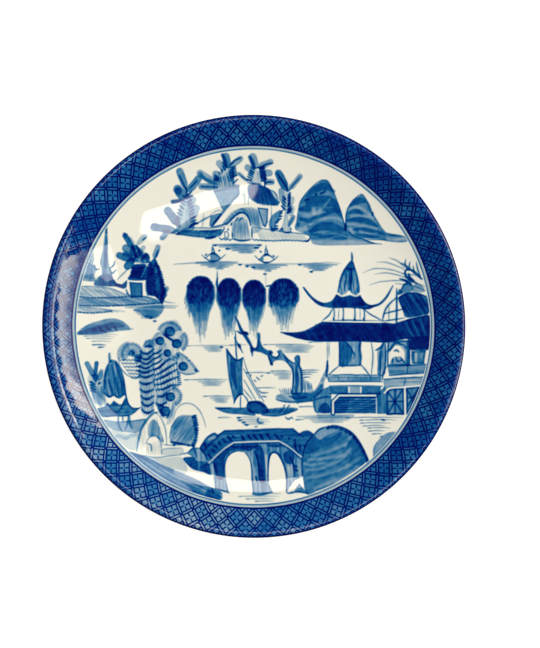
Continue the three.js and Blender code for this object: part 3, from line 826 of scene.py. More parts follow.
def fruit_tree():
    wash([(-69.8, -16), (-66, -9), (-62, -7.4), (-58, -6), (-52, 3), (-47, 3), (-43, -6), (-46, -16),
          (-47.4, -28), (-47, -36), (-49, -46), (-51, -56), (-57, -56), (-61.4, -46), (-62.6, -53),
          (-68.6, -54), (-69.8, -34)], FAINT, grain=88, streak=0.6)
    fan(-52, -4.5, 3.2, 7.2, 20, 160, 17)
    fan(-48.5, -9, 3.6, 7.6, -50, 40, 12)
    fan(-56.5, -9, 3.2, 5.6, 60, 175, 10, PALE, MIDDLE)
    fan(-53.5, -16, 2.6, 5.6, 100, 330, 16, PALE, LIGHT)
    # The rosette and the scaly leaf on the left
    fan(-75.2, -17, 1.2, 6.4, -40, 220, 30, LIGHT, MIDDLE)
    fan(-76.2, -17.4, 4.0, 7.6, 100, 200, 13, PALE, LIGHT)
    wash([(-77.4, -17.4), (-75.4, -14.4), (-73.2, -16), (-74, -19)], MIDDLE)
    brush([(-75.2, -15.6), (-74.2, -16.8), (-74.8, -17.8)], 1.2, DEEP)
    for i in range(6):
        row_y = -20.6 - 2.1 * i
        for x in np.arange(-82.4 + 1.5 * i, -70.6, 2.1):
            brush([(x - 1, row_y + 0.5), (x, row_y - 0.7), (x + 1.1, row_y - 0.4)], 0.6, MIDDLE, 0.5, 1)
            brush([(x, row_y + 0.4), (x + 0.5, row_y - 0.5)], 0.4, LIGHT)
    brush([(-83.4, -19.6), (-82.6, -24.6), (-79, -29.4), (-75, -32)], 0.7, MIDDLE, 0.6, 0.6)
    brush([(-75, -32.2), (-71.6, -32), (-69.8, -28.6)], 0.9, MIDDLE, 0.5, 0.5)
    wash([(-73.6, -18.4), (-69.4, -17.4), (-69.6, -22), (-72.8, -22.4)], MIDDLE)
    for y in (-19, -21, -24.4, -27.4):
        brush([(-72.6, y), (-70, y - 0.8)], 1.1, DEEP, 0.4, 0.8)
    # The two columns of leaves
    wash([(-67.8, -10.4), (-65.6, -8.4), (-62, -9), (-60.6, -12), (-64, -13.6), (-68, -12.6)], LIGHT,
         grain=80, streak=0.6)
    brush([(-67, -12.8), (-64.6, -12.2), (-62.4, -12.8)], 1.5, DEEP, 0.4, 0.4)
    swags = [(-70, -15.4, 1.5, 1.6), (-70.2, -18.6, 1.8, 1.6), (-70.2, -21.4, 1.8, 1.2),
             (-70.4, -24.2, 1.7, 0.8), (-70.6, -27.2, 1.3, 0.5), (-70.6, -30, 1.5, 0.2),
             (-70.4, -34.4, 1.3, 0), (-70, -39, 1.6, 0), (-69.6, -43, 1.9, 0), (-69.2, -47, 2, 0),
             (-69, -51.4, 2, -0.4)]
    leafy_rows([[(x, y), (x + 2.2, y - sag), (x + 5, y - sag), (-61.6, y + rise)]
                for x, y, sag, rise in swags])
    for rows in (swags[1:3], swags[3:5]):
        for x, y, sag, rise in rows:
            brush([(-61.6, y + rise), (-59, y + rise + 0.8), (-56.4, y + rise + 3)], 1.1, DEEP, 0.8, 0.3)
    leafy_rows([[(-61.4, -27.4), (-58, -25.4), (-55, -22.6), (-51.6, -20)],
                [(-60.8, -30.4), (-57, -28.6), (-52.4, -25.6), (-47.4, -22.6)],
                [(-61.6, -33.4), (-58, -32.4), (-52.6, -29.6), (-47, -26.6)],
                [(-61.2, -36.2), (-57, -35.8), (-52, -33.4), (-46.6, -31.4)],
                [(-60, -39.4), (-55, -38.8), (-51, -36.6), (-46.4, -36.4)],
                [(-59.4, -43.2), (-56.4, -43.4), (-53.4, -41)],
                [(-60.4, -47.6), (-57, -48.8), (-53.6, -46.8)]])
    dashes([(-47.4, -28), (-46.4, -36)], [(-45.6, -29), (-44.6, -36)], 7, 0.8, STRONG)
    dashes([(-50, -20.4), (-47.6, -16.4)], [(-47.6, -21.4), (-45.8, -18)], 5, 0.7, MIDDLE)
    brush([(-69, -28.8), (-66.6, -28.8)], 1.3, DEEP)
    # The leaf that points right
    tip = [(-46.4, -16.6), (-43.6, -18.4), (-40.4, -21.4), (-37.4, -24.8), (-34.8, -28.2)]
    wash(tip + [(-37, -29.6), (-42, -29.8), (-46.6, -27.4), (-48, -22)], PALE * 0.8)
    hatch([(-46.8, -20), (-44, -22)], tip[:2], 4, 0.5, LIGHT)
    dashes(tip, [(x + 1.1, y + 0.5) for x, y in tip], 15, 0.8, STRONG)
    brush([(-36.2, -26.6), (-35.2, -28)], 1.6, DEEP)
    brush([(-47, -27.6), (-42, -29.6), (-36.6, -29.2)], 1.0, LIGHT)
    fan(-50.5, -43.4, 3, 6.0, -62, 80, 14, LIGHT, STRONG)
    dashes([(-55.6, -4.8), (-50, -9.6)], [(-53.6, -6.4), (-49.6, -8.4)], 6, 1.4, DEEP)
    dashes([(-59.6, -49), (-57, -55)], [(-57.6, -50.4), (-54.6, -55.4)], 5, 1.2, STRONG)
    hatch([(-49.4, -47), (-47.6, -46)], [(-54, -61), (-50.6, -60)], 5, 0.7, PALE, 0.2)
    hatch([(-67.6, -54), (-60, -54)], [(-66.4, -66), (-58, -66)], 6, 0.5, FAINT, 0.3)
    for x, y, r in ((-51.4, -3.3, 3.0), (-57.6, -9.1, 2.6), (-47.3, -10.7, 2.8), (-53, -16.6, 2.2),
                    (-43.2, -24.8, 2.7), (-51, -43.6, 2.8), (-54.2, -52.4, 3.0)):
        fruit(x, y, r)
    brush([(-58.4, -49), (-55.6, -49.6)], 1.4, DEEP)
    brush([(-53.6, -56.6), (-52, -53.6)], 1.2, DEEP)


def left_pavilion():
    mass = [(-101.8, -31), (-97, -29), (-93, -28), (-92.4, -38), (-93.4, -49.6), (-97.6, -46),
            (-101.4, -38)]
    wash(mass, PALE, grain=86, streak=0.5)
    leaf((-98, -32), (-102.6, -23.4), 3.4, MIDDLE)
    leaf((-97.8, -31), (-96.8, -23), 2.6, STRONG)
    leaf((-95.6, -34), (-93.8, -28), 3.0, LIGHT)
    wash([(-99.8, -30.6), (-95.8, -30.2), (-97.2, -35)], STRONG)
    dashes([(-100.4, -34.6), (-100.2, -40)], [(-98, -36), (-97.6, -41)], 4, 1.5, STRONG)
    brush([(-95.8, -36), (-94.4, -35)], 1.4, STRONG)
    hatch([(-100, -38), (-92.6, -37)], [(-98, -48), (-91, -49)], 8, 0.8, LIGHT)
    dome = [(-89.5, -22.6), (-88.6, -21), (-86.6, -20.8), (-84.6, -22.2), (-82.4, -27), (-80.5, -34),
            (-79.4, -42.4), (-79.4, -42.4), (-82, -43.2), (-84.6, -44), (-86.4, -42.4), (-88.2, -44.2),
            (-90.4, -43), (-92.6, -40.4), (-92.5, -33), (-91.6, -27)]
    wash(dome, STRONG, grain=98, streak=0.3)
    brush([(-89, -17), (-88.8, -20), (-88.4, -22)], 1.7, MIDDLE, 0.7, 1)
    for line in ([(-88.2, -23), (-86.4, -32), (-84, -42.6)], [(-90.8, -27), (-90.4, -36), (-88.8, -42)],
                 [(-85.6, -24), (-82.8, -33), (-82, -37)]):
        scratch(line, 0.9, 0.66, 0.4)
    for line in ([(-89.6, -24), (-91.4, -31), (-91.6, -39)], [(-87.6, -24), (-85.6, -33), (-83.4, -42)],
                 [(-85, -23.4), (-82, -33), (-80.4, -41.6)], [(-89.2, -33), (-87.6, -39), (-86.6, -42)]):
        brush(line, 1.5, MIDDLE)
    scallops([(-92.4, -41), (-86.4, -42.6), (-79.6, -42.2)], 2, 1.2, STRONG, 1.8)
    brush([(-84.8, -21.8), (-81.6, -28), (-79.7, -36), (-78.8, -43), (-77.4, -47.6), (-75, -50.4),
           (-72, -51), (-69.6, -50.2)], 1.0, DEEP)
    skirt = [(-97.4, -51.4), (-91.4, -49.6), (-90.3, -47.3), (-88.3, -48.8), (-86.2, -46), (-83, -48.4),
             (-81.2, -48.4), (-79.1, -44.2), (-77.4, -47.8), (-75, -50.5), (-70, -50.4), (-73, -53.2),
             (-76.6, -55), (-85, -55.3), (-90, -56.3), (-96.4, -55)]
    wash(skirt, STRONG, smooth=False, grain=4)
    brush([(-88.8, -49.8), (-86.6, -52.6), (-83.2, -52.6), (-81.2, -49.6), (-79.4, -45)], 0.8, STRONG)
    brush([(-93, -56), (-85, -55.4), (-77, -55), (-73, -53)], 0.8, STRONG)
    for line in ([(-83.4, -56), (-83.2, -61), (-80.8, -65)], [(-80.7, -56), (-80.6, -59)],
                 [(-77, -55.4), (-77.6, -60), (-79.2, -64.4)],
                 [(-76.6, -56), (-76.2, -60), (-74.8, -63.4)]):
        brush(line, 1.0, MIDDLE, 1, 0.5)
    wash([(-93, -58), (-84, -58.8), (-76, -58.6), (-66.4, -57.4), (-70.6, -65), (-78, -65.6), (-87, -63.8)],
         LIGHT)
    brush([(-84, -59.4), (-76, -58.6), (-66.6, -57.6)], 0.8, LIGHT)
    wash([(-88.6, -64.6), (-78, -66.4), (-71, -66), (-72.6, -76), (-79.6, -74)], FAINT)
    for x, y in ((-74.6, -67.6), (-78.6, -69), (-83, -68)):
        brush([(x - 2, y), (x + 2, y + 0.2)], 2.4, FAINT)


def rocks():
    brush([(-72, -77), (-71, -70.5), (-69, -63), (-65.4, -57.4), (-61.6, -53.6), (-59.6, -53.4)], 1.5,
          MIDDLE, 0.4, 0.8)
    brush([(-60, -53.4), (-57, -57), (-54.8, -62), (-53.8, -68), (-53.6, -73.4)], 0.9, LIGHT)
    wash([(-65.2, -67.4), (-64.6, -60.6), (-61.6, -57.4), (-59, -60), (-56.8, -65.6), (-55.4, -71.6),
          (-58, -70.4), (-60.4, -67.6), (-63, -68)], LIGHT, grain=84, streak=0.5)
    brush([(-66.4, -72.4), (-64.6, -69), (-61.2, -67.6), (-58.4, -69.2), (-57, -73), (-56.6, -79)], 1.0,
          LIGHT)
    hatch([(-65.6, -73), (-58, -70.4)], [(-66, -79.4), (-57.6, -79)], 8, 0.6, FAINT)
    brush([(-65.8, -72.2), (-63.4, -73.4), (-62.8, -77)], 0.9, MIDDLE)
    brush([(-68, -79.6), (-60, -81), (-52, -80), (-45, -79.4)], 0.9, LIGHT)
    hatch([(-70.4, -68), (-68, -61)], [(-68.8, -78), (-66.6, -70)], 4, 0.6, FAINT)
    block = [(-46.6, -55.6), (-36.6, -55.2), (-35, -57.6), (-34.8, -64), (-36.6, -73), (-44, -73.2),
             (-50.6, -71.4), (-51.6, -65)]
    wash(block, PALE, grain=62, streak=0.6)
    hatch([(-51, -62), (-51.6, -71), (-44, -72.6), (-37, -72.4)],
          [(-46.4, -55.8), (-42, -55.4), (-36, -56), (-34.6, -66)], 17, 0.7, MIDDLE, 0.3)
    dashes([(-37.8, -55.6), (-36.2, -63), (-36, -70), (-38, -73)],
           [(-35.6, -55), (-34.2, -62), (-35, -70), (-36.8, -74.4)], 14, 1.3, DEEP)
    dashes([(-51, -71.4), (-38, -73.6)], [(-48, -72), (-37, -74)], 6, 1.3, DEEP)
    for line in ([(-49.6, -58), (-47.6, -51.4), (-44, -48.2), (-40.6, -47.5), (-36.6, -48.8), (-33, -52.6),
                  (-30.6, -58), (-29.6, -62)], [(-56.2, -72.8), (-51, -73.4), (-44, -73.2)]):
        brush(line, 0.8, LIGHT)
    brush([(-56.4, -76.8), (-54.4, -75.4), (-44, -75)], 0.8, PALE)
    wash([(-56, -75.8), (-44, -75.2), (-44.6, -79), (-56, -79.4)], FAINT)
    for x, y in ((-49, -73.2), (-46.4, -72.4)):
        brush([(x - 0.8, y), (x + 0.8, y)], 1.3, DEEP)
    wash([(-72, -79.4), (-58, -81.6), (-44, -81), (-42, -91), (-58, -87.6)], FAINT)
    shore = ring_band(225, 259, (0, 4.6, 6.4, 7.6, 8.6, 8.6, 7, 5))
    wash(shore, MIDDLE, grain=-26, streak=0.4)
    for depth, start, stop in ((1.2, 226, 256), (3.6, 229, 252), (5.8, 233, 250)):
        brush(ring_band(start, stop, (depth,) * 9)[:9], 1.3, LIGHT, 0.3, 0.3)
    wash([(-28, -100.6), (-21.6, -102.4), (-20.6, -106.4), (-23, -108), (-30, -105.4)], MIDDLE)
    brush([(-25.6, -99.4), (-25.4, -101.4), (-24.8, -103)], 1.2, DEEP)


def sail_boat():
    brush([(-11.3, -2.6), (-11.2, -8), (-10.8, -14.4), (-10.4, -20)], 1.0, STRONG, 0.5, 0.9)
    brush([(-12, -6.6), (-9.4, -11.4), (-6.6, -16.4)], 0.9, STRONG)
    brush([(-9.6, -11), (-8.2, -13)], 1.8, DEEP)
    sail = [(-17, -13.2), (-17, -13.2), (-16.7, -20), (-16, -27), (-15, -34), (-13.4, -41), (-12, -47.6),
            (-12, -47.6), (-10.7, -44), (-8.6, -42.3), (-6.4, -42), (-6.4, -42), (-6.9, -34), (-7, -27),
            (-6.6, -19.4), (-6.6, -19.4), (-10, -20.8), (-13.6, -18.4)]
    wash(sail, STRONG, grain=94)
    brush([(-16.6, -14), (-14.4, -17.6), (-11.8, -20.2), (-9.4, -20.8), (-6.6, -19.4)], 1.2, DEEP)
    brush([(-13.6, -20), (-12.6, -29), (-10.4, -39)], 2.4, MIDDLE)
    scratch([(-15.2, -18.6), (-14.6, -28), (-12.6, -38)], 0.8, 0.75, 0.5)
    brush([(-12.2, -47.6), (-10.6, -44), (-8.4, -42.2), (-6.2, -41.9)], 1.0, DEEP)
    for line in ([(-6.5, -19), (-3.2, -29), (2.6, -40), (6.4, -46.4)],
                 [(-6.2, -26), (-1.4, -35), (4, -44.4)], [(-6, -33), (-2.4, -39), (1.2, -45)],
                 [(-6, -39), (-3.6, -42), (-1, -45)]):
        brush(line, 0.65, MIDDLE, 0.7, 0.7)
    brush([(-8, -43), (-8.1, -51)], 0.8, STRONG)
    brush([(-6.4, -42), (-4, -45), (-3, -48.4)], 0.8, STRONG)
    wash([(-23.6, -50.3), (-17, -50), (-8, -50.2), (-3.4, -50), (-1, -52), (1, -55), (-8, -54.2),
          (-14, -53.9), (-19, -52.8)], STRONG)
    brush([(-23.8, -50.3), (-20, -50.6), (-14, -50.3)], 0.9, DEEP)
    wash([(-4.4, -49.6), (-3.2, -46.6), (0, -45.9), (4.2, -46.2), (7.2, -48.4), (9.2, -51.4), (9, -53.4),
          (4, -54), (-2.4, -53)], DEEP)
    brush([(-3, -47.4), (2, -46.8), (7, -50)], 1.6, STRONG)
    wash([(5.8, -51.4), (10, -50.7), (18, -50), (23, -49.9), (27.4, -50.6), (27.4, -51.4), (24, -52.9),
          (17, -54.6), (10, -55.3), (5, -54.6)], MIDDLE)
    hatch([(9, -51), (25, -50.4)], [(6.4, -54), (21.4, -53.6)], 9, 0.9, STRONG)
    for line in ([(5, -54.6), (13, -55.2), (20, -54), (26.8, -51.2)], [(18.4, -50), (19.4, -48.2)],
                 [(21, -49.8), (22.4, -48.4)]):
        brush(line, 0.8, STRONG)


def open_water():
    ripples([(-41, -12, -12), (-15, -4, -11.4)], PALE, 0.8)
    stepped(-31, -19, -13, 3, 0.6, PALE, 1.5)
    brush([(-21, -12.8), (-19, -12.9)], 1.2, STRONG)
    ripples([(-42.6, -15.4, -33)], LIGHT, 0.9)
    stepped(-34, -18, -34.2, 3, 0.7, PALE, 2.2)
    ripples([(-31, -13, -43.2)], LIGHT, 0.9)
    stepped(-27, -15, -44.4, 3, 0.5, PALE, 2)
    ripples([(-22, -14, -56.4), (-10, 4, -56.2), (-8, 9, -57.6), (-7.4, 10.4, -58.9), (-6, 8, -60.4),
             (0.6, 2.6, -62)], PALE, 1.0)
    for x, y in ((-9.4, -58), (-6.8, -59.4), (-5, -60.8), (-10, -56.4)):
        brush([(x, y), (x + 2, y)], 1.1, STRONG, 0.8, 0.3)
    brush([(3, -56.4), (2.6, -58.4), (4, -59.6), (6, -59.4)], 1.0, STRONG)
    brush([(19.6, -55.8), (21.4, -57.2), (23.6, -56.2), (24.4, -57)], 0.9, STRONG)
    ripples([(26, 31, -57.6), (28, 38.4, -49.6), (27, 27.8, -47.4)], LIGHT, 0.9)
    stepped(27, 62, -55.6, 4, 0.5, PALE, 4)
    ripples([(-4.6, 10, -28.6), (2, 14, -38)], LIGHT, 0.8)
    for line in ([(-4.8, -28.6), (-2.8, -28.7)], [(8, -28.7), (10.4, -28.7)], [(-1.6, -29.4), (-2, -31)],
                 [(0.2, -33), (1.6, -34.2)], [(1.6, -31.2), (4, -33.2)], [(4.4, -31), (5.8, -30.2)],
                 [(3, -39), (5, -40.8), (9, -41)], [(5, -43), (8, -43.4)]):
        brush(line, 0.9, MIDDLE)
    ripples([(6, 35, -11.2), (34, 42.6, -9.6)], LIGHT, 0.8)
    stepped(14, 37, -12.2, 4, 0.5, PALE, 2.2)
    ripples([(10.4, 24, -27.6)], LIGHT, 0.9)
    stepped(11.4, 23.4, -28.8, 4, 0.2, PALE, 1.8)
    ripples([(30, 40.6, -27), (30, 39.6, -28.3), (30, 36.6, -29.6), (30.4, 35.4, -31.4)], LIGHT, 0.9)


def twisted_tree():
    bough = ((-11.6, 6.4), (-9.8, 3), (-7.4, -2.6), (-4, -7.6), (-1.2, -12.8), (-0.8, -18))
    brush(bough, 2.2, STRONG, 0.25, 0.35)
    brush(bough[:5], 1.0, MIDDLE, 0.3, 0.3)
    brush([(-10.2, -2.8), (-8, -4.2), (-5.6, -4.2), (-3.6, -3.6)], 1.2, DEEP)
    brush([(-6.4, -3.4), (-3.4, -4.8)], 1.9, DEEP)
    limb = [(2.2, -4.2), (4, -4.4), (4.3, -9), (5.8, -12.6), (8.6, -14.6), (11, -14.8), (12, -16.6),
            (8.4, -17.6), (4.6, -16), (0.2, -15.2), (-1.6, -16.2), (-2.2, -12.2), (-0.4, -12.6),
            (1.4, -13.4), (2.6, -10.4)]
    wash(limb, STRONG, grain=-60)
    brush([(-2.2, -10.6), (-1.2, -12.8), (0.4, -13.9), (2.2, -12.6), (2.8, -8)], 1.0, DEEP)
    bend = [(10.2, -14.6), (11, -17.8), (13.2, -18.9), (15.3, -18.2), (15.8, -16.8), (14.6, -15.2),
            (17.2, -14.2), (18.4, -16.6), (21, -19.8), (24, -22.2), (25.6, -21.6), (25.2, -19.6),
            (26.8, -17.6), (28.6, -18.2), (28.8, -21), (28.4, -24), (29.7, -27.4), (30.2, -33),
            (30.2, -40.8), (23.4, -41.6), (24.1, -37), (24.4, -31), (23.4, -26), (21.8, -23.6), (19, -21.3),
            (16, -20.7), (13.2, -21.2), (10.8, -23.8), (10, -22), (9, -18.4)]
    wash(bend, STRONG, grain=-70, streak=0.4)
    for line in ([(8.6, -17.6), (10.4, -21), (10.8, -23.6)],
                 [(10.6, -15.4), (11.2, -18), (14, -19.2), (15.8, -17.2), (14.8, -15.4)],
                 [(18.4, -16.8), (21.4, -20.4), (25, -22.6)],
                 [(22, -23.8), (24.2, -27), (24.6, -33), (23.8, -41)],
                 [(28.6, -20), (28.4, -24.4), (29.8, -28), (30, -40.4)]):
        brush(line, 0.9, DEEP)
    brush([(26.4, -24), (26.8, -32), (26.4, -40.4)], 2.0, MIDDLE)
    scratch([(27.8, -26), (28.6, -32), (28.4, -40)], 0.8, 0.5, 0.4)
    scratch([(22, -21.8), (24.6, -23.8), (25.4, -28), (25.2, -36)], 0.6, 0.6, 0.4)
    brush([(10.6, -22.8), (11.8, -23.6)], 1.8, DEEP)
    islet = [(13.6, -43.4), (16, -41.8), (22, -41), (30, -40.6), (36, -40), (39, -37.6), (42, -32),
             (45, -25.6), (45, -25.6), (45.6, -30.6), (43.8, -33.4), (43.2, -38.8), (40.4, -41.4),
             (37.2, -44.4), (36.6, -46.2), (28, -46.6), (19, -46.7), (14.4, -45.4)]
    wash(islet, LIGHT, grain=-20, streak=0.5)
    wash([(24, -41.4), (31, -41), (37, -40.6), (40.6, -37), (43, -35), (41.6, -40.6), (37, -44), (35, -46),
          (26, -46)], MIDDLE)
    brush([(14, -45.2), (21, -46.6), (30, -46.5), (36.6, -45.8)], 1.0, STRONG)
    brush([(22, -43), (27, -44.4), (33, -43.4)], 1.6, MIDDLE)
    brush([(45.6, -9), (45.8, -16), (45.8, -22)], 0.8, LIGHT)
    brush([(45.8, -21), (45.6, -26), (45.2, -30.4)], 1.4, DEEP)
    hatch([(16, -38.4), (23, -38)], [(17.4, -41.6), (23.4, -41.4)], 6, 0.7, MIDDLE)
    hatch([(30.6, -32), (35.6, -35)], [(31.6, -40.4), (36.4, -40)], 6, 0.7, MIDDLE)


def bridge():
    # The bushes at its left end
    wash([(-38.4, -75.4), (-35, -75), (-32.6, -75.4), (-30, -79), (-28, -82.4), (-26.4, -85.5),
          (-25.6, -91.8), (-31, -89.8), (-36.6, -88.4), (-40, -86), (-43.4, -81.4), (-38, -80.4),
          (-40.6, -78.4)], MIDDLE, grain=90)
    wash([(-43.2, -81.4), (-37, -80.6), (-35, -83), (-28, -84.4), (-26.6, -91.4), (-31, -89.8),
          (-36.6, -88.4), (-40, -86)], STRONG, grain=20)
    brush([(-37.4, -75.6), (-36, -77.6), (-35.2, -81)], 0.9, STRONG)
    brush([(-45.4, -79), (-40.6, -78), (-37.6, -75.4), (-34, -75)], 0.9, MIDDLE)
    for line in ([(-34.2, -76), (-34, -81), (-33.6, -88)], [(-31, -79), (-30, -84)]):
        scratch(line, 1.2, 0.62, 0.6)
    # The deck, humped and bent down at both ends
    deck = [(-33, -75.2), (-30, -70.2), (-27.4, -67.8), (-24.2, -65.9), (-22.2, -66.8), (-18, -64.3),
            (-18, -64.3), (0, -63.9), (12, -63.3), (24.2, -63.2), (24.2, -63.2), (28.4, -66.3),
            (28.4, -66.3), (31, -65), (34, -64.8), (37, -66.6), (35.4, -69), (32.6, -73), (31, -78),
            (30, -81.4), (30, -81.4), (21, -74.4), (15.6, -70.8), (15.6, -70.8), (0, -71.3), (-12, -71.9),
            (-12, -71.9), (-19, -77), (-26.8, -84.4), (-26.8, -84.4), (-29, -80.6)]
    wash(deck, STRONG, grain=2)
    wash(deck, FAINT, grain=2)
    for line in ([(-33, -75.2), (-30, -70.2), (-27.4, -67.8), (-24.2, -66), (-21.8, -67.6)],
                 [(-22.6, -68), (-18, -64.4), (-18, -64.4), (0, -63.9), (12, -63.3), (24.2, -63.3),
                  (24.2, -63.3), (30.8, -68.4)], [(28.4, -66.4), (31, -65), (34, -64.8), (37, -66.6)],
                 [(-30.4, -76.4), (-26, -71.8), (-21.6, -68)], [(-33, -75.2), (-30.6, -78), (-28.4, -82)],
                 [(35.6, -68.4), (33, -71.6), (31.2, -76), (30.1, -81), (29.8, -86), (30.1, -92)]):
        brush(line, 1.1, STRONG, 0.8, 0.7)
    scratch([(-27.6, -69.8), (-24.4, -68.2)], 1.6, 0.6, 0.6)
    posts = [((-30, -72), (-29.8, -74.6)), ((-28, -79), (-25.6, -81.6)), ((-25.6, -76), (-23.6, -78)),
             ((-24, -73.8), (-22.2, -75)), ((-21.5, -71.5), (-20.6, -72.8)), ((-18.7, -69.6), (-16.8, -72)),
             ((-15.6, -68.1), (-13.4, -70.8)), ((-12.8, -67.8), (-12, -68)), ((-7.2, -67.6), (-5.4, -70.8)),
             ((-3.4, -67.3), (-1.4, -70)), ((0.2, -67.2), (2.6, -70.2)), ((4.4, -67.2), (6, -70)),
             ((8.2, -66.4), (10.8, -69.8)), ((13.2, -66.6), (16.6, -70.6)), ((17.4, -67.9), (17.8, -68.6)),
             ((21.8, -69.2), (22.2, -69.7)), ((25.4, -70), (26, -75), (27.6, -78.2)),
             ((28.7, -73.4), (28.7, -77.8))]
    for post in posts:
        brush(list(post), 1.4, DEEP, 1, 0.35)
    # The parapet line, and the arches under it
    under = [(-26.6, -84.6), (-18.6, -76.6), (-12, -72.2), (0, -71.6), (15.5, -71.2), (21.6, -75),
             (29.6, -81.4), (29.8, -86), (30, -92.6), (25, -95), (20, -102), (19.9, -91), (18.8, -85.6),
             (16.4, -80.6), (13.8, -78), (11.6, -78), (9.8, -80), (9, -84), (8.8, -91), (9.4, -97),
             (11.6, -102), (4, -103.6), (-0.6, -103.2), (-1.2, -95), (-1.3, -89), (-1.8, -84.2),
             (-3.6, -80.6), (-6, -77.6), (-9.4, -76.9), (-13.4, -78), (-16.2, -80.4), (-17.6, -84),
             (-17.9, -88), (-17.4, -93), (-15.4, -102), (-24, -100), (-25, -92)]
    wash(under, MIDDLE, smooth=False, grain=90, streak=0.4)
    for shape in ([(-24.6, -83.6), (-18.4, -77.6), (-12, -73.6), (2, -73), (-2, -76.8), (-5.4, -76.4),
                   (-9.4, -76), (-14, -77), (-17, -79.8), (-18.4, -84), (-18.4, -92.6), (-20, -94.4),
                   (-23, -92.6)], [(1, -73.6), (4.4, -73.6), (6.2, -78), (7.2, -85), (7.2, -95), (3.4, -95),
                                   (2.6, -84)], [(18.4, -79), (21, -76.8), (24.8, -77), (24.8, -83),
                                                 (22.4, -85), (19.4, -83.4)],
                  [(8, -73), (16, -72.8), (17, -74.2), (11, -74.4)]):
        wash(shape, STRONG)
    for x, y in ((-10, -74.4), (-3, -74.6)):
        brush([(x - 4, y), (x + 3, y)], 1.6, MIDDLE)
    parapet = [(-27.2, -84.2), (-19, -76.4), (-12, -71.6), (-12, -71.6), (0, -71.1), (15.6, -70.7),
               (15.6, -70.7), (21.4, -74.2), (29.4, -80.6)]
    scratch(parapet, 1.2, 0.22, 0.3)
    brush([(x, y - 1) for x, y in parapet], 0.8, DEEP, 1, 1)
    for line in ([(-26, -85), (-25.2, -91.6)], [(-5, -78.6), (-1, -84.4), (0.6, -95)], [(8, -80), (8, -94)],
                 [(22, -87), (22.6, -94)], [(27.6, -82), (28, -92)]):
        scratch(line, 1.6, 0.55, 0.8)
    for line in ([(-24.8, -84.2), (-23.4, -87.2), (-22.8, -90.6)],
                 [(0.5, -76.8), (2.2, -81), (3.3, -87), (3.6, -95)],
                 [(22.5, -80.6), (24.2, -84), (25, -88), (25.3, -92.6)], [(1.3, -92.6), (1.9, -95.4)],
                 [(3.8, -95), (6.4, -95)], [(4.3, -88.2), (4.7, -89.2)], [(4.8, -91.4), (5.1, -92.2)],
                 [(25.4, -86.2), (26.6, -86.6)], [(26, -88.4), (27, -89.2)],
                 [(-21.6, -93.4), (-19.6, -94)]):
        brush(line, 1.3, DEEP, 0.7, 0.6)
    brush([(-17.6, -93), (-17.9, -88), (-17.4, -83.6), (-15.6, -79.6), (-11.6, -77.1), (-7, -76.7)], 0.9,
          STRONG)
    brush([(-5, -77.6), (-2.4, -81.6), (-1.2, -87), (-1, -95), (-0.4, -103)], 0.8, STRONG)
    brush([(8.9, -95.4), (8.9, -88), (9.3, -82.4), (10.6, -78.8), (12.6, -77.6), (15, -78.8), (17.8, -83),
           (19.6, -89), (20.1, -95), (20, -101)], 1.1, DEEP)
    for line in ([(-24, -99.6), (-20, -101), (-15.2, -102.6)], [(-1, -103.4), (4, -103.8), (11.4, -102)],
                 [(20, -101.4), (21, -102.8), (27, -101.9), (33, -103)]):
        brush(line, 1.1, STRONG)
    wash([(25, -101.6), (28, -97), (30, -99.6), (33, -102.8), (28, -102)], MIDDLE)
    ripples([(-9.6, 15.4, -104.8), (-5, 13, -106.4), (0.6, 12.4, -107.8), (6, 16.6, -103.2)], PALE, 1.0)


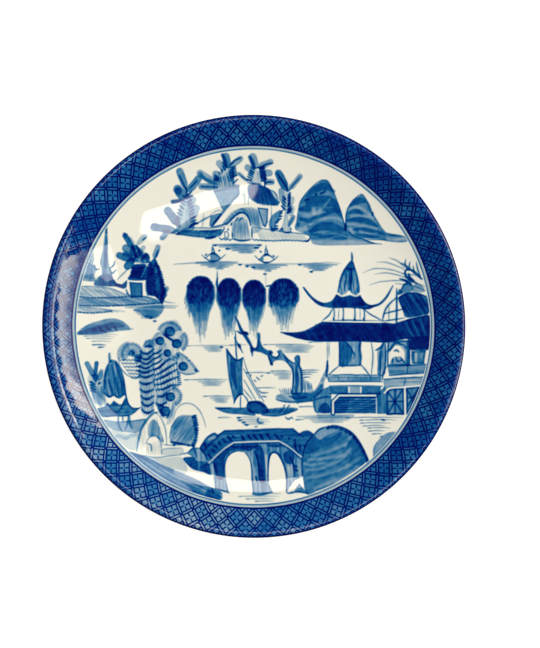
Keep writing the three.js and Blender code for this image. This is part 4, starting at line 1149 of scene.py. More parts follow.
def boulders():
    big = [(30.2, -94), (30, -86), (30.4, -80), (32, -73.6), (35.4, -68.2), (37.4, -66.2), (40.4, -63.4),
           (45, -61.8), (50, -61.3), (54.4, -62.2), (59, -64.4), (62.6, -67), (65.6, -71.4), (68, -76),
           (70, -80.6), (70.8, -83)]
    big += ring_band(310.5, 287.5, (0.6,) * 8)[:8]
    wash(big, 0.58, grain=34, streak=0.14)
    wash([(31.4, -77), (33, -71.6), (37, -67.6), (41, -69.6), (48, -68), (54, -65), (54, -68), (46, -73.4),
          (40, -76), (36, -78), (32, -78.4)], LIGHT)
    wash([(58.4, -73.6), (63.6, -69.6), (68.4, -79.4), (67, -85.6), (58.6, -84.6), (60.4, -78.4)], PALE,
         grain=50)
    clear([(38.2, -66.8), (44, -62.9), (50, -62.2), (54.6, -63.2), (50, -65.2), (44.6, -67.8), (41, -70)],
          keep=0.62)
    sweeps = (([(36, -79.4), (45, -77.4), (52, -74.6), (57.2, -72.6)], 1.0),
              ([(56.4, -73.8), (58.4, -70), (62.6, -65.8)], 0.9),
              ([(34, -82.2), (46, -81), (55.6, -79.4), (60, -75.4)], 1.3),
              ([(32, -88.4), (42, -87.2), (52, -82.8), (56.4, -80)], 1.1),
              ([(33, -93.4), (45, -91), (57, -86.4), (66, -80.6)], 0.8),
              ([(37, -99.4), (47, -96.4), (57, -92), (64, -86.4)], 1.5),
              ([(31.6, -84.6), (36, -85.4), (44, -84)], 0.8))
    for line, width in sweeps:
        scratch(line, width, 0.62, 1.1)
        brush([(x + 0.5, y - 1.8) for x, y in line], 1.5, FAINT, 0.3, 0.3)
    brush([(37.2, -66.6), (41, -63.2), (46, -61.7)], 0.8, STRONG)
    rim = [(46, -61.6), (50.4, -61.2), (55, -62.4), (60, -65), (64, -69.4), (67, -74.4), (69, -78.6),
           (70.4, -82.4)]
    brush(rim, 1.0, MIDDLE, 0.6, 0.8)
    hatch(rim, [(x - 0.9, y - 1.9) for x, y in rim], 36, 0.9, DEEP, 0.7, start=0.8, end=0.4)
    # A far hill against the ring line, and the ripples beside it
    hill = ring_band(312.4, 323.6, (0, 3.7, 4.9, 5.1, 3.9, 0))
    wash(hill, 0.4, grain=48, streak=0.15)
    brush(hill[:3], 0.8, LIGHT)
    ripples([(57, 92, -56.3), (65.6, 88.4, -57.8), (66, 84.6, -59.6), (67.6, 81, -61.3), (70.4, 84, -62.7),
             (71, 80.8, -64.5), (73, 79.4, -66.4), (78, 79.6, -68)], LIGHT, 0.8)
    brush([(79, -57.4), (81, -58)], 1.3, STRONG)


def upper_roofs():
    # The bell-shaped roof and its finial
    brush([(61, 46.4), (61.2, 43), (61, 40)], 1.3, STRONG, 0.4, 1)
    bell = [(60.2, 41), (57.5, 37.8), (55, 34), (53.4, 29.6), (52.5, 25), (51.9, 21.6), (51.9, 21.6),
            (54.6, 20), (57.4, 20.8), (59, 22.8), (61, 20.8), (63.6, 20.2), (65.8, 21.4), (65.8, 21.4),
            (65.4, 25), (64.4, 30), (63.2, 35), (62.2, 40)]
    wash(bell, MIDDLE, grain=100, streak=0.5)
    wash([(57.6, 37), (61, 39.4), (61.4, 30), (60, 23), (57.8, 26)], MIDDLE, grain=94)
    for line in ([(60, 40.4), (56.4, 35), (54, 28), (52.6, 21.8)],
                 [(61.8, 40), (63.8, 33), (65.4, 26), (65.6, 21.6)], [(60.8, 36), (60.6, 30), (60.2, 24)],
                 [(58, 33), (56.8, 27), (56.4, 22)]):
        brush(line, 1.0, STRONG)
    brush([(57.4, 36.6), (60, 35.8), (62.4, 36.4)], 1.4, DEEP)
    scratch([(58.6, 34), (58.2, 28), (58.4, 24)], 1.1, 0.6, 0.5)
    scratch([(63, 34), (63.4, 28), (63, 23.4)], 1.0, 0.6, 0.5)
    # The wide skirt that turns up at both ends
    skirt = [(30.8, 24.6), (34.6, 19.4), (38, 16.8), (42, 15.2), (46, 15.2), (49, 16.8), (51.6, 20.6),
             (51.6, 20.6), (57, 19.4), (61, 20), (66.2, 20.4), (66.2, 20.4), (68, 16.8), (71.4, 14),
             (76, 13.8), (80.2, 16.2), (83.4, 20.4), (86.6, 26), (86.6, 26), (83.6, 19.6), (79.4, 15),
             (75, 12.6), (71, 11), (64, 11.6), (57, 11.9), (50, 11.7), (45, 12.2), (41, 13.2), (36.8, 16.4)]
    wash(skirt, DEEP, grain=4, streak=0.2)
    wash([(51.4, 19.6), (57, 18.8), (61, 19.4), (66, 19.4), (69, 13.4), (60, 12.4), (49, 12.6)], STRONG,
         grain=92)
    brush([(31, 24.4), (34.6, 19.6), (38.4, 16.2), (43, 14)], 1.5, DEEP, 0.6, 1)
    brush([(72, 12.6), (78, 14.2), (81.8, 17.8), (84.2, 21.4), (86.4, 25.6)], 1.4, STRONG, 1, 0.4)
    scratch([(51.4, 21), (54.6, 19.2), (57.2, 19.8), (59.2, 21.4), (61.4, 19.8), (64, 19.4), (66.2, 20.6)],
            1.2, 0.1, 0.25)
    for x in (49.8, 55.6, 62.8, 68.6):
        brush([(x, 11.6), (x + 0.2, 8), (x, 4)], 1.0, MIDDLE, 1, 1)
        brush([(x - 0.4, 5.6), (x, 4.2), (x + 0.6, 4)], 0.9, STRONG)
    brush([(49.8, 4.2), (60, 4.4), (68.6, 4.2)], 0.6, MIDDLE)
    brush([(53, 11.4), (52.6, 4)], 0.6, LIGHT)
    brush([(66, 11.4), (66.2, 4)], 0.6, LIGHT)
    brush([(42, 3.4), (56, 4), (79, 4)], 0.7, MIDDLE)
    brush([(49, 11.4), (46.4, 7), (42.4, 3.6)], 0.9, STRONG)
    brush([(69, 10.8), (73, 7.6), (79.4, 4.2)], 0.9, STRONG)
    # The gate beside it, and the thatch behind
    brush([(80, 3), (80.6, 7), (82.2, 11.4), (85, 15), (88.6, 18.2)], 1.2, STRONG)
    brush([(88.8, 18.4), (88.8, 10), (88.6, 2.6)], 1.2, STRONG, 1, 1)
    brush([(88.8, 24), (88.8, 18)], 1.0, STRONG, 0.4, 1)
    brush([(80.8, 8.2), (88, 10), (93.6, 11.4)], 1.0, STRONG)
    brush([(80, 3.6), (86, 4.4), (93.4, 5.6)], 0.9, STRONG)
    brush([(84, 13), (84, 4)], 0.6, MIDDLE)
    thatch = [(89.8, 17.6), (92.4, 19.8), (96.4, 21), (101, 20.8), (105.4, 19.4), (107.4, 18), (108.6, 9),
              (104, 7), (98, 6), (94, 6.2), (92.6, 10)]
    wash(thatch, STRONG, grain=-55, streak=0.3)
    wash(thatch, LIGHT, grain=-55, streak=0.8)
    hatch([(90.4, 16.4), (94, 19.6), (103, 20)], [(96, 6.8), (103, 7.4), (108.6, 9.6)], 12, 0.9, MIDDLE)
    brush([(89.8, 17.6), (93, 20), (97.4, 21), (102, 20.6), (106.6, 18.6)], 1.1, DEEP)
    for points, tone in (([(91, 21.4), (93, 26.4), (97, 27.6), (99, 23.4), (96, 21.4)], MIDDLE),
                         ([(98.6, 22), (99.6, 26.4), (103.6, 26), (105.8, 21.8)], LIGHT),
                         ([(89.4, 20), (90.4, 23.6), (92.4, 21)], STRONG)):
        wash(points, tone)
    brush([(91.4, 22), (93.6, 26.6), (97.4, 27.4)], 0.9, STRONG)


def grasses():
    fans = ([(76.4, 40.2), (82, 40.2), (88, 38.2), (94, 35.4)],
            [(67.4, 33.4), (75, 36.2), (85, 35.6), (93.4, 32.8)],
            [(75, 32.8), (82, 33.6), (90, 32), (96, 30)], [(72, 26), (78, 28), (88, 28.8), (95, 28.4)],
            [(84, 43), (89, 41), (93.6, 37)])
    for line in fans:
        brush(line, 0.8, LIGHT, 0.3, 0.9)
    for line in ([(95, 35.6), (93.8, 34), (94.6, 31.4), (97.4, 28.8), (101.4, 26.8)],
                 [(95, 35.8), (98, 35), (101.2, 32.4), (104, 29.4)],
                 [(90.8, 29.9), (94.2, 28.6), (98, 26.4)], [(96, 33), (97, 30.4), (99.6, 28.6)]):
        brush(line, 1.5, DEEP, 0.5, 0.4)
    for line in ([(94.2, 42), (94, 38.4), (96, 35)], [(91, 39.6), (94, 38.4), (96.2, 36.4)],
                 [(96.8, 40.4), (96.4, 37.6), (97.2, 35.6)], [(100.6, 40.4), (101.4, 36), (103.2, 31)],
                 [(98.6, 38), (99.6, 33)]):
        brush(line, 0.9, STRONG, 0.3, 0.8)
    for line in ([(90, 30), (98, 28), (107, 24.6)], [(92, 33), (100, 32), (106.6, 28.6)],
                 [(88, 27), (98, 25.6), (107, 22)]):
        brush(line, 0.8, LIGHT, 0.6, 0.3)


def veranda_roof():
    roof = [(16.6, -3.2), (16.6, -3.2), (24, -3.6), (31, -2.6), (36.5, 0), (42.6, 3.2), (42.6, 3.2),
            (56, 2.8), (70, 2.6), (82, 2.6), (88, 2.2), (95, 4.2), (101, 5.6), (108.6, 6.8), (109, -2),
            (108.4, -13.8), (97, -14), (95.4, -7.6), (88, -8.6), (80, -9.6), (74, -9.2), (66, -8.4),
            (45, -8.8), (34, -8.2), (26, -6.6)]
    wash(roof, DEEP, grain=-55, streak=0.2)
    wash([(18, -3.8), (30, -3.4), (37, -1.4), (43.6, 1.4), (62, 1.4), (82, 1.4), (87, -2), (83, -8.8),
          (74, -8.8), (45, -8.4), (33, -8), (25, -6.2)], STRONG, grain=-55)
    hatch([(37, -0.6), (43, 2.4), (82, 2)], [(42, -8), (50, -8.4), (88, -8)], 36, 0.8, STRONG)
    brush([(16.8, -3.4), (25, -6.2), (33, -8), (45, -8.8), (60, -8.5), (74, -9.1), (82, -9.3)], 0.9, DEEP)
    scratch([(42.4, 3.6), (60, 3.2), (82, 3), (88, 2.6)], 0.7, 0.1, 0.3)
    brush([(42.6, 2.6), (60, 2.2), (82, 2.1)], 0.9, DEEP)
    wash([(80, 2.2), (88, 1.8), (95, 3.9), (101, 5.2), (108.4, 6.4), (108.6, -8), (97, -7.4), (88, -8.4),
          (80, -9.2)], STRONG, grain=-60)
    for line in ([(94, 3.6), (97, -3), (99, -6)], [(98, 4.6), (101.4, -3), (102.6, -6)],
                 [(103, 5.6), (105, -1), (106, -6)]):
        scratch(line, 1.0, 0.72, 0.5)
    wash([(97.4, -6.2), (108.8, -5.6), (108.2, -13.8), (97, -14)], DEEP, smooth=False)
    brush([(88, 2), (95.2, 4.2), (101, 5.6), (108.6, 6.8)], 1.0, DEEP)


def veranda():
    # The doorway and the open bays of the upper floor
    door = [(53.4, -9), (66.6, -8.6), (66.4, -23.6), (53.4, -24)]
    wash(door, 0.42, smooth=False, grain=88)
    wash([(53.6, -9.2), (57.4, -9), (60.4, -13), (61.4, -17), (58.4, -23.6), (53.6, -23.8)], MIDDLE,
         grain=80)
    brush([(57, -9.2), (60.2, -12.6), (61.4, -15.4), (62.6, -17), (62, -20)], 0.9, STRONG)
    brush([(66.2, -9), (65.8, -14), (66.4, -18), (66, -23.4)], 1.6, STRONG, 1, 0.8)
    brush([(53.2, -9), (53.4, -16), (53.2, -24)], 1.0, STRONG, 1, 1)
    brush([(53.4, -24.2), (60, -24), (67.2, -23.8)], 1.0, STRONG)
    brush([(53, -24.2), (50, -26.6), (46.6, -29.6)], 0.8, STRONG)
    brush([(67.2, -24), (69.4, -26.8), (72.4, -31)], 0.8, STRONG)
    brush([(73, -9.6), (74, -16), (73.8, -22), (73, -29.4)], 0.9, MIDDLE)
    brush([(80.6, -9.8), (79, -12.6), (76, -14.4)], 1.4, DEEP)
    column = [(76.8, -15.6), (77, -22), (77, -29.6), (80.4, -30.4), (81.8, -25), (82.2, -17), (81.6, -10),
              (79.2, -13)]
    wash(column, MIDDLE, grain=90, streak=0.6)
    brush([(78.4, -15), (78.6, -29)], 1.3, STRONG)
    brush([(81.8, -10), (82, -18), (81.2, -29)], 0.9, STRONG)
    brush([(47, -9), (46.8, -14), (47, -18.6)], 0.7, LIGHT)
    window_frame = [(83.4, -9.2), (96.6, -8.8), (96.4, -23.4), (83.2, -23.6)]
    outline(window_frame, 0.9, STRONG, smooth=False)
    brush([(83, -15.2), (85, -13.6), (87, -10.6), (89, -9.8), (92.4, -11)], 1.5, STRONG)
    brush([(95.6, -9), (95.8, -16), (95.4, -23.6)], 2.0, MIDDLE, 1, 1)
    brush([(93, -11), (94.6, -13.6)], 1.0, STRONG)
    wash([(84, -9.6), (96, -9.2), (95.8, -22.6), (93.6, -22), (93.4, -15.6), (90.6, -11.8), (87.4, -12),
          (84.2, -15.6)], LIGHT)
    # An abstract seated figure, a bare dot over a few strokes
    wash([(85.6, -20), (88, -18.4), (91.6, -19), (93.6, -23), (85, -23.2)], LIGHT)
    brush([(88, -18.8), (89.4, -21.4), (92, -20.4)], 1.1, STRONG)
    brush([(86.4, -19.4), (86, -22.6)], 1.1, STRONG)
    brush([(87, -15), (88.6, -14.4), (90, -15.6)], 1.2, STRONG)
    brush([(91, -18.6), (92.4, -21), (94, -22.8)], 1.0, MIDDLE)
    outline([(99, -15.6), (105.8, -15.4), (104.8, -22.4), (99.2, -22.4)], 1.0, STRONG, smooth=False)
    wash([(101.4, -16), (105.4, -15.8), (104.6, -22), (101.2, -22)], MIDDLE, smooth=False, grain=90)
    wash([(99.6, -16), (101.4, -16), (101.2, -22), (99.8, -22)], PALE, smooth=False)
    brush([(98, -14), (98.2, -23)], 1.0, STRONG)
    # The terrace walls at the right
    wall = [(83, -24.6), (96, -23.8), (107.6, -23.2), (106.6, -28.6), (95, -29), (84, -30)]
    wash(wall, 0.42, smooth=False, grain=0, streak=0.3)
    for line in ([(82.4, -24.4), (95, -23.8), (107.4, -23.2)], [(84, -30.2), (95, -29.2), (106.4, -28.8)],
                 [(82.2, -24.6), (80.2, -29.6), (79.6, -33)]):
        brush(line, 0.9, STRONG)
    brush([(95.4, -24), (95, -29)], 0.7, MIDDLE)


def base():
    # The deck, its steps and the louvred plinth
    brush([(45.4, -29.9), (60, -29.8), (80, -30)], 1.0, STRONG)
    wash([(46.4, -30.6), (79, -30.6), (79, -33.8), (46.8, -33.8)], 0.42, smooth=False, grain=0, streak=0.4)
    brush([(45.4, -29.9), (46.8, -33.8)], 0.9, STRONG)
    brush([(46.6, -34), (62, -33.8), (80, -34)], 0.8, STRONG)
    for x in (52.6, 58.6, 66.6, 72.6):
        brush([(x, -30.6), (x, -33.6)], 0.6, LIGHT)
    brush([(47, -36.6), (62, -36.5), (80, -36.7)], 0.8, STRONG)
    wash([(47.4, -37), (58.6, -37), (58.6, -41.2), (48.2, -41.2)], STRONG, smooth=False)
    wash([(59.6, -37), (66, -37), (66, -41.2), (59.6, -41.2)], LIGHT, smooth=False)
    wash([(67, -37), (79, -37), (78.2, -41.2), (67, -41.2)], STRONG, smooth=False)
    brush([(47, -41.4), (62, -41.4), (79, -41.5)], 0.8, DEEP)
    pillar = [(76.2, -42), (81.4, -36.6), (82.4, -41), (82.4, -53.8), (76.4, -53.8)]
    wash(pillar, STRONG, smooth=False, grain=90)
    plinth = [(50.2, -53.6), (50.2, -46.6), (53.6, -43.2), (75.6, -43.2), (75.6, -53.6)]
    wash(plinth, MIDDLE, smooth=False, grain=20, streak=0.4)
    wash([(50.4, -53.4), (50.4, -46.8), (53.6, -43.4), (60, -43.4), (57, -53.4)], LIGHT, smooth=False)
    for y in (-44, -45.6, -47, -48.5, -49.8, -51.2, -52.6):
        brush([(52.6 if y > -46 else 50.6, y), (62, y + 0.1), (75.4, y)], 0.8, STRONG, 1, 1)
    corner_board = [(49.2, -53.6), (49.2, -46.4), (49.2, -46.4), (53, -42.5), (53, -42.5), (75.6, -42.5)]
    brush(corner_board, 2.8, DEEP, 1, 1)
    scratch(corner_board, 1.3, 0.05, 0.25)
    block = [(43.4, -38.4), (47.6, -36.6), (48.2, -42), (48.4, -53.6), (40, -53.4), (38, -52),
             (37.4, -44.4)]
    wash(block, 0.52, smooth=False, grain=80, streak=0.3)
    brush([(43.4, -38.4), (37.6, -44.2), (38, -51.6), (40, -53.4)], 1.0, STRONG)
    wash([(40.6, -53), (41, -49.6), (42.8, -47.4), (45.2, -47.2), (46.8, -49), (47.2, -53)], STRONG)
    brush([(38.4, -45), (43.4, -43.6), (47.6, -43.4)], 1.2, STRONG)
    # The panelled wing at the right
    cap = [(80.4, -32.4), (94, -31.6), (106, -31), (103.8, -36), (93, -36.8), (84, -37.8), (81, -40.4)]
    wash(cap, LIGHT, smooth=False, grain=0, streak=0.5)
    brush([(80.4, -32.4), (94, -31.6), (106, -31)], 0.9, STRONG)
    brush([(94, -31.8), (93, -36.6)], 0.7, MIDDLE)
    panels = [[(82.6, -40.4), (84.8, -38.8), (92.4, -38.2), (92.4, -54), (82.6, -54)],
              [(94.6, -38.2), (102.4, -37.4), (99, -45), (95.2, -53), (94.6, -54)]]
    for panel in panels:
        wash(panel, MIDDLE, smooth=False, grain=90)
        outline(panel, 1.0, DEEP, smooth=False)
    for line in ([(83, -40), (92, -53.4)], [(92, -39), (83, -53.4)], [(87.4, -38.6), (87.4, -53.6)],
                 [(82.8, -46.2), (92.4, -46.2)], [(95, -39), (98.4, -46.6)], [(101.6, -38), (95.2, -49)],
                 [(94.8, -44), (99.6, -43.6)]):
        brush(line, 1.0, STRONG, 1, 1)
    for line in ([(81, -40.9), (84.2, -38.2), (93, -37.4), (103, -36.6)], [(93.4, -37.4), (93.5, -54)]):
        scratch(line, 1.1, 0.05, 0.25)
    brush([(39.6, -54.6), (50, -54.7), (62, -54.8)], 1.2, PALE, 1, 0.8)
    ripples([(40, 60, -56.2)], PALE, 0.9)


# Later strokes lie over earlier ones, so the picture is painted from the far hills forward
for paint in (mountains, far_trees, far_house, near_mounds, far_water, willows, left_shore, left_ground,
              low_isle, fruit_tree, left_pavilion, rocks, sail_boat, open_water, twisted_tree, bridge,
              boulders, upper_roofs, grasses, veranda_roof, veranda, base):
    paint()


# ---------------------------------------------------------------- materials


def colour(red, green, blue):
    """A colour as it looks on screen, 0 to 255, turned into linear light"""
    shares = (red / 255, green / 255, blue / 255)
    return (*(v / 12.92 if v <= 0.04045 else ((v + 0.055) / 1.055) ** 2.4 for v in shares), 1.0)


class Finish:
    """A material and short ways to add nodes to it; a value may be a number or another node's output"""

    def __init__(self, name):
        self.material = bpy.data.materials.new(name)
        self.material.use_nodes = True
        self.tree = self.material.node_tree
        self.surface = self.tree.nodes["Principled BSDF"]

    def link(self, value, socket):
        if isinstance(value, bpy.types.NodeSocket):
            self.tree.links.new(value, socket)
        else:
            socket.default_value = value

    def node(self, kind, output=0, **inputs):
        made_node = self.tree.nodes.new(kind)
        for name, value in inputs.items():
            self.link(value, made_node.inputs[name.replace("_", " ")])
        return made_node.outputs[output]

    def math(self, operation, *values):
        step = self.tree.nodes.new("ShaderNodeMath")
        step.operation = operation
        for value, socket in zip(values, step.inputs):
            self.link(value, socket)
        return step.outputs[0]

    def attribute(self, name):
        found = self.tree.nodes.new("ShaderNodeAttribute")
        found.attribute_name = name
        return found.outputs["Fac"]

    def place(self):
        return self.tree.nodes.new("ShaderNodeTexCoord").outputs["Object"]

    def split(self, vector):
        parts = self.tree.nodes.new("ShaderNodeSeparateXYZ")
        self.link(vector, parts.inputs[0])
        return parts.outputs

    def radius_mm(self):
        x, y, _ = self.split(self.place())
        square = self.math("ADD", self.math("POWER", x, 2.0), self.math("POWER", y, 2.0))
        return self.math("MULTIPLY", self.math("SQRT", square), 1000.0)

    def noise(self, scale, detail=2.0, roughness=0.5, output=0):
        return self.node("ShaderNodeTexNoise", output, Vector=self.place(), Scale=scale, Detail=detail,
                         Roughness=roughness)

    def ramp(self, value, stops):
        made_node = self.tree.nodes.new("ShaderNodeValToRGB")
        points = made_node.color_ramp.elements
        while len(points) < len(stops):
            points.new(0.5)
        for point, (position, tint) in zip(points, stops):
            point.position = position
            point.color = tint
        self.link(value, made_node.inputs[0])
        return made_node.outputs[0]

    def step(self, value, low, high):
        """0 below low and 1 above high, smooth between them"""
        made_node = self.tree.nodes.new("ShaderNodeMapRange")
        made_node.interpolation_type = "SMOOTHSTEP"
        for name, setting in (("Value", value), ("From Min", low), ("From Max", high)):
            self.link(setting, made_node.inputs[name])
        return made_node.outputs[0]

    def blend(self, share, one, other):
        made_node = self.tree.nodes.new("ShaderNodeMix")
        made_node.data_type = "RGBA"
        self.link(share, made_node.inputs["Factor"])
        self.link(one, made_node.inputs[6])
        self.link(other, made_node.inputs[7])
        return made_node.outputs[2]

    def bump(self, height, distance):
        made_node = self.tree.nodes.new("ShaderNodeBump")
        self.link(height, made_node.inputs["Height"])
        made_node.inputs["Distance"].default_value = distance
        self.link(made_node.outputs[0], self.surface.inputs["Normal"])

    def glazed(self, tint, roughness=0.02, relief=None):
        """A clear hard glaze over a tint, with the faint unevenness that firing leaves"""
        swell = self.noise(22.0, 1.0)
        fine = self.noise(900.0, 2.0)
        gloss = self.math("MULTIPLY_ADD", fine, 0.03, roughness - 0.015)
        self.link(tint, self.surface.inputs["Base Color"])
        self.link(gloss, self.surface.inputs["Roughness"])
        self.surface.inputs["IOR"].default_value = 1.5
        self.surface.inputs["Coat Weight"].default_value = 0.35
        self.surface.inputs["Coat Roughness"].default_value = 0.015
        if relief is None:
            self.bump(swell, 0.00035)
        else:
            self.bump(self.math("ADD", swell, relief), 0.00035)
        return self.material


# What a density of cobalt looks like under the glaze
PORCELAIN = colour(231, 230, 219)
COBALT = [(0.0, PORCELAIN), (0.12, colour(192, 201, 199)), (0.22, colour(158, 179, 190)),
          (0.34, colour(110, 147, 175)), (0.48, colour(54, 118, 160)), (0.62, colour(14, 91, 145)),
          (0.74, colour(2, 65, 132)), (0.87, colour(0, 33, 113)), (1.0, colour(0, 5, 88))]


# The printed border is a purer blue than the brushwork
PRINTED = COBALT[:4] + [(0.48, colour(44, 114, 167)), (0.62, colour(8, 85, 151)),
                        (0.74, colour(0, 58, 136)), (0.87, colour(0, 29, 115)), (1.0, colour(0, 5, 88))]


def cobalt_look(finish, density, blues=COBALT):
    """The blue that a density gives, on porcelain whose own white drifts a little"""
    drift = finish.noise(9.0, 3.0)
    speck = finish.step(finish.noise(420.0, 1.0), 0.72, 0.8)
    uneven = finish.math("MULTIPLY_ADD", finish.math("SUBTRACT", finish.noise(320.0, 2.0), 0.5), 0.22, 1.0)
    worked = finish.math("MINIMUM", finish.math("MULTIPLY", density, uneven), 1.0)
    tint = finish.ramp(worked, blues)
    bare = finish.math("SUBTRACT", 1.0, finish.step(worked, 0.0, 0.3))
    yellowing = finish.math("MULTIPLY", finish.math("MULTIPLY", drift, 0.10), bare)
    aged = finish.blend(yellowing, tint, colour(236, 228, 196))
    dirt = finish.math("MULTIPLY", finish.math("MULTIPLY", speck, 0.06), bare)
    return finish.blend(dirt, aged, colour(160, 158, 150))


def painted_glaze():
    finish = Finish("painted_glaze")
    return finish.glazed(cobalt_look(finish, finish.attribute("cobalt")))


# The brushed ring line, and how dense the pale wash between it and the border is
RING_LINE_FROM, RING_LINE_TO = 109.25, 110.6
WASH_FROM = 110.0
BETWEEN_RINGS = 0.2


def ring_glaze():
    """The brushed line round the picture, and the pale wash outside it"""
    finish = Finish("ring_glaze")
    radius = finish.radius_mm()
    waver = finish.math("MULTIPLY_ADD", finish.noise(60.0, 2.0), 0.5, -0.25)
    edge = finish.math("ADD", radius, waver)
    outside = finish.math("SUBTRACT", 1.0, finish.step(edge, RING_LINE_TO - 0.3, RING_LINE_TO))
    line = finish.math("MULTIPLY", finish.step(edge, RING_LINE_FROM, RING_LINE_FROM + 0.35), outside)
    depth = finish.math("MULTIPLY", line, finish.math("MULTIPLY_ADD", finish.noise(35.0, 2.0), 0.35, 0.3))
    wash_depth = finish.math("MULTIPLY", finish.step(edge, WASH_FROM, WASH_FROM + 0.3), BETWEEN_RINGS)
    density = finish.math("MAXIMUM", depth, wash_depth)
    return finish.glazed(cobalt_look(finish, density))


CELLS_ROUND = 68
FIRST_ROW = 112.4
ROW_PITCH = 11.6
PRINT_START, INNER_LINE_END = 111.5, 112.7
NAVY, WASH = 1.0, 0.66
# Painted light and shade on the border: the bearing where the print is painted darkest, and how much paler
# its navy and wash are painted away from it
PAINTED_SHADE_BEARING, NAVY_PAINTED_LIGHT, WASH_PAINTED_LIGHT = 62, 0.1, 0.24
EDGE_START = 128.7
PRINT_RELIEF, CELL_RELIEF = 0.07, 0.06


def border_glaze():
    """The printed lattice: diamonds between striped lines, each with four squares joined at their middle"""
    finish = Finish("border_glaze")
    m = finish.math
    x, y, _ = finish.split(finish.place())
    angle = m("ARCTAN2", y, x)
    across = finish.attribute("across")
    shake_u, shake_v, _ = finish.split(finish.noise(130.0, 2.0, output=1))
    u = m("MULTIPLY_ADD", m("SUBTRACT", shake_u, 0.5), 0.05,
          m("MULTIPLY", angle, CELLS_ROUND / (2 * math.pi)))
    row = m("DIVIDE", m("SUBTRACT", across, FIRST_ROW), ROW_PITCH)
    v = m("MULTIPLY_ADD", m("SUBTRACT", shake_v, 0.5), 0.05, row)
    one, other = m("ADD", u, v), m("SUBTRACT", u, v)
    p = m("ABSOLUTE", m("SUBTRACT", m("FRACT", one), 0.5))
    q = m("ABSOLUTE", m("SUBTRACT", m("FRACT", other), 0.5))
    soft = 0.022

    def below(value, limit, edge=soft):
        return m("SUBTRACT", 1.0, finish.step(value, limit - edge, limit + edge))

    def within(value, low, high):
        return m("MULTIPLY", finish.step(value, low - soft, low + soft), below(value, high))

    squares = m("MULTIPLY", within(p, 0.052, 0.34), within(q, 0.052, 0.34))
    cross = m("MULTIPLY", below(m("MAXIMUM", p, q), 0.095), 0.85)
    stripes = m("MAXIMUM", m("MULTIPLY", finish.step(p, 0.445, 0.468), below(q, 0.385)),
                m("MULTIPLY", finish.step(q, 0.445, 0.468), below(p, 0.385)))
    cell = finish.tree.nodes.new("ShaderNodeCombineXYZ")
    finish.link(m("FLOOR", one), cell.inputs[0])
    finish.link(m("FLOOR", other), cell.inputs[1])
    chance = finish.tree.nodes.new("ShaderNodeTexWhiteNoise")
    finish.link(cell.outputs[0], chance.inputs["Vector"])
    cloud = finish.noise(18.0, 2.0)
    # Painted light: the print is painted palest where it faces down and to the left, as if more light falls
    # on that side of the border, and darkest on the painted shade side
    away = m("MULTIPLY_ADD", m("COSINE", m("SUBTRACT", angle, math.radians(PAINTED_SHADE_BEARING))), -0.5, 0.5)
    painted_light = m("POWER", away, 1.5)
    blotch = m("ADD", m("MULTIPLY_ADD", chance.outputs["Value"], 0.18, -0.09),
               m("MULTIPLY_ADD", cloud, 0.5, -0.25))
    wash = m("ADD", m("MULTIPLY_ADD", painted_light, -WASH_PAINTED_LIGHT, WASH), blotch)
    navy = m("MULTIPLY_ADD", painted_light, -NAVY_PAINTED_LIGHT, NAVY)
    depth = m("SUBTRACT", navy, wash)
    lattice = m("SUBTRACT", navy, m("MULTIPLY", m("MAXIMUM", squares, cross), depth))
    lattice = m("SUBTRACT", lattice, m("MULTIPLY", stripes, depth))
    waver = m("MULTIPLY_ADD", finish.noise(45.0, 2.0), 0.5, -0.25)
    edge = m("ADD", across, waver)
    printed = finish.step(edge, PRINT_START - 0.15, PRINT_START + 0.15)
    inner_line = below(edge, INNER_LINE_END, 0.15)
    with_line = m("ADD", lattice, m("MULTIPLY", inner_line, m("SUBTRACT", 0.96, lattice)))
    density = m("MAXIMUM", m("MULTIPLY", printed, with_line), BETWEEN_RINGS)
    dressed = m("MAXIMUM", density, finish.step(edge, EDGE_START - 0.25, EDGE_START + 0.25))
    # The glaze swells over each cell of the print
    swell = m("ADD", m("COSINE", m("MULTIPLY", one, 2 * math.pi)),
              m("COSINE", m("MULTIPLY", other, 2 * math.pi)))
    relief = m("MULTIPLY_ADD", density, PRINT_RELIEF, m("MULTIPLY", swell, CELL_RELIEF))
    return finish.glazed(cobalt_look(finish, dressed, PRINTED), 0.04, relief)


def edge_glaze():
    """The dark line round the lip, thin where the glaze has run off it"""
    finish = Finish("edge_glaze")
    density = finish.math("MULTIPLY_ADD", finish.noise(70.0, 3.0), 0.3, 0.8)
    dark = finish.ramp(density, [(0.0, colour(20, 40, 90)), (0.75, colour(22, 22, 62)),
                                 (1.0, colour(10, 8, 30))])
    return finish.glazed(dark, 0.1)


def plain_glaze(name):
    finish = Finish(name)
    drift = finish.noise(12.0, 3.0)
    tint = finish.ramp(drift, [(0.3, colour(226, 228, 222)), (0.7, colour(236, 235, 228))])
    speck = finish.step(finish.noise(260.0, 1.0), 0.74, 0.8)
    return finish.glazed(finish.blend(finish.math("MULTIPLY", speck, 0.35), tint, colour(150, 140, 120)),
                         0.12)


def bare_clay(name):
    """Fired body with no glaze: matt, gritty, and stained where it has been handled"""
    finish = Finish(name)
    stain = finish.noise(30.0, 4.0)
    grit = finish.noise(1500.0, 3.0, 0.7)
    tint = finish.ramp(stain, [(0.25, colour(226, 216, 196)), (0.55, colour(212, 198, 174)),
                               (0.8, colour(176, 158, 132))])
    dark = finish.step(finish.noise(700.0, 1.0), 0.7, 0.76)
    gritty = finish.blend(finish.math("MULTIPLY", dark, 0.5), tint, colour(110, 96, 80))
    finish.link(gritty, finish.surface.inputs["Base Color"])
    finish.link(finish.math("MULTIPLY_ADD", grit, 0.25, 0.62), finish.surface.inputs["Roughness"])
    finish.bump(grit, 0.00012)
    return finish.material


# ---------------------------------------------------------------- the pieces
WELL_SIDE = 760


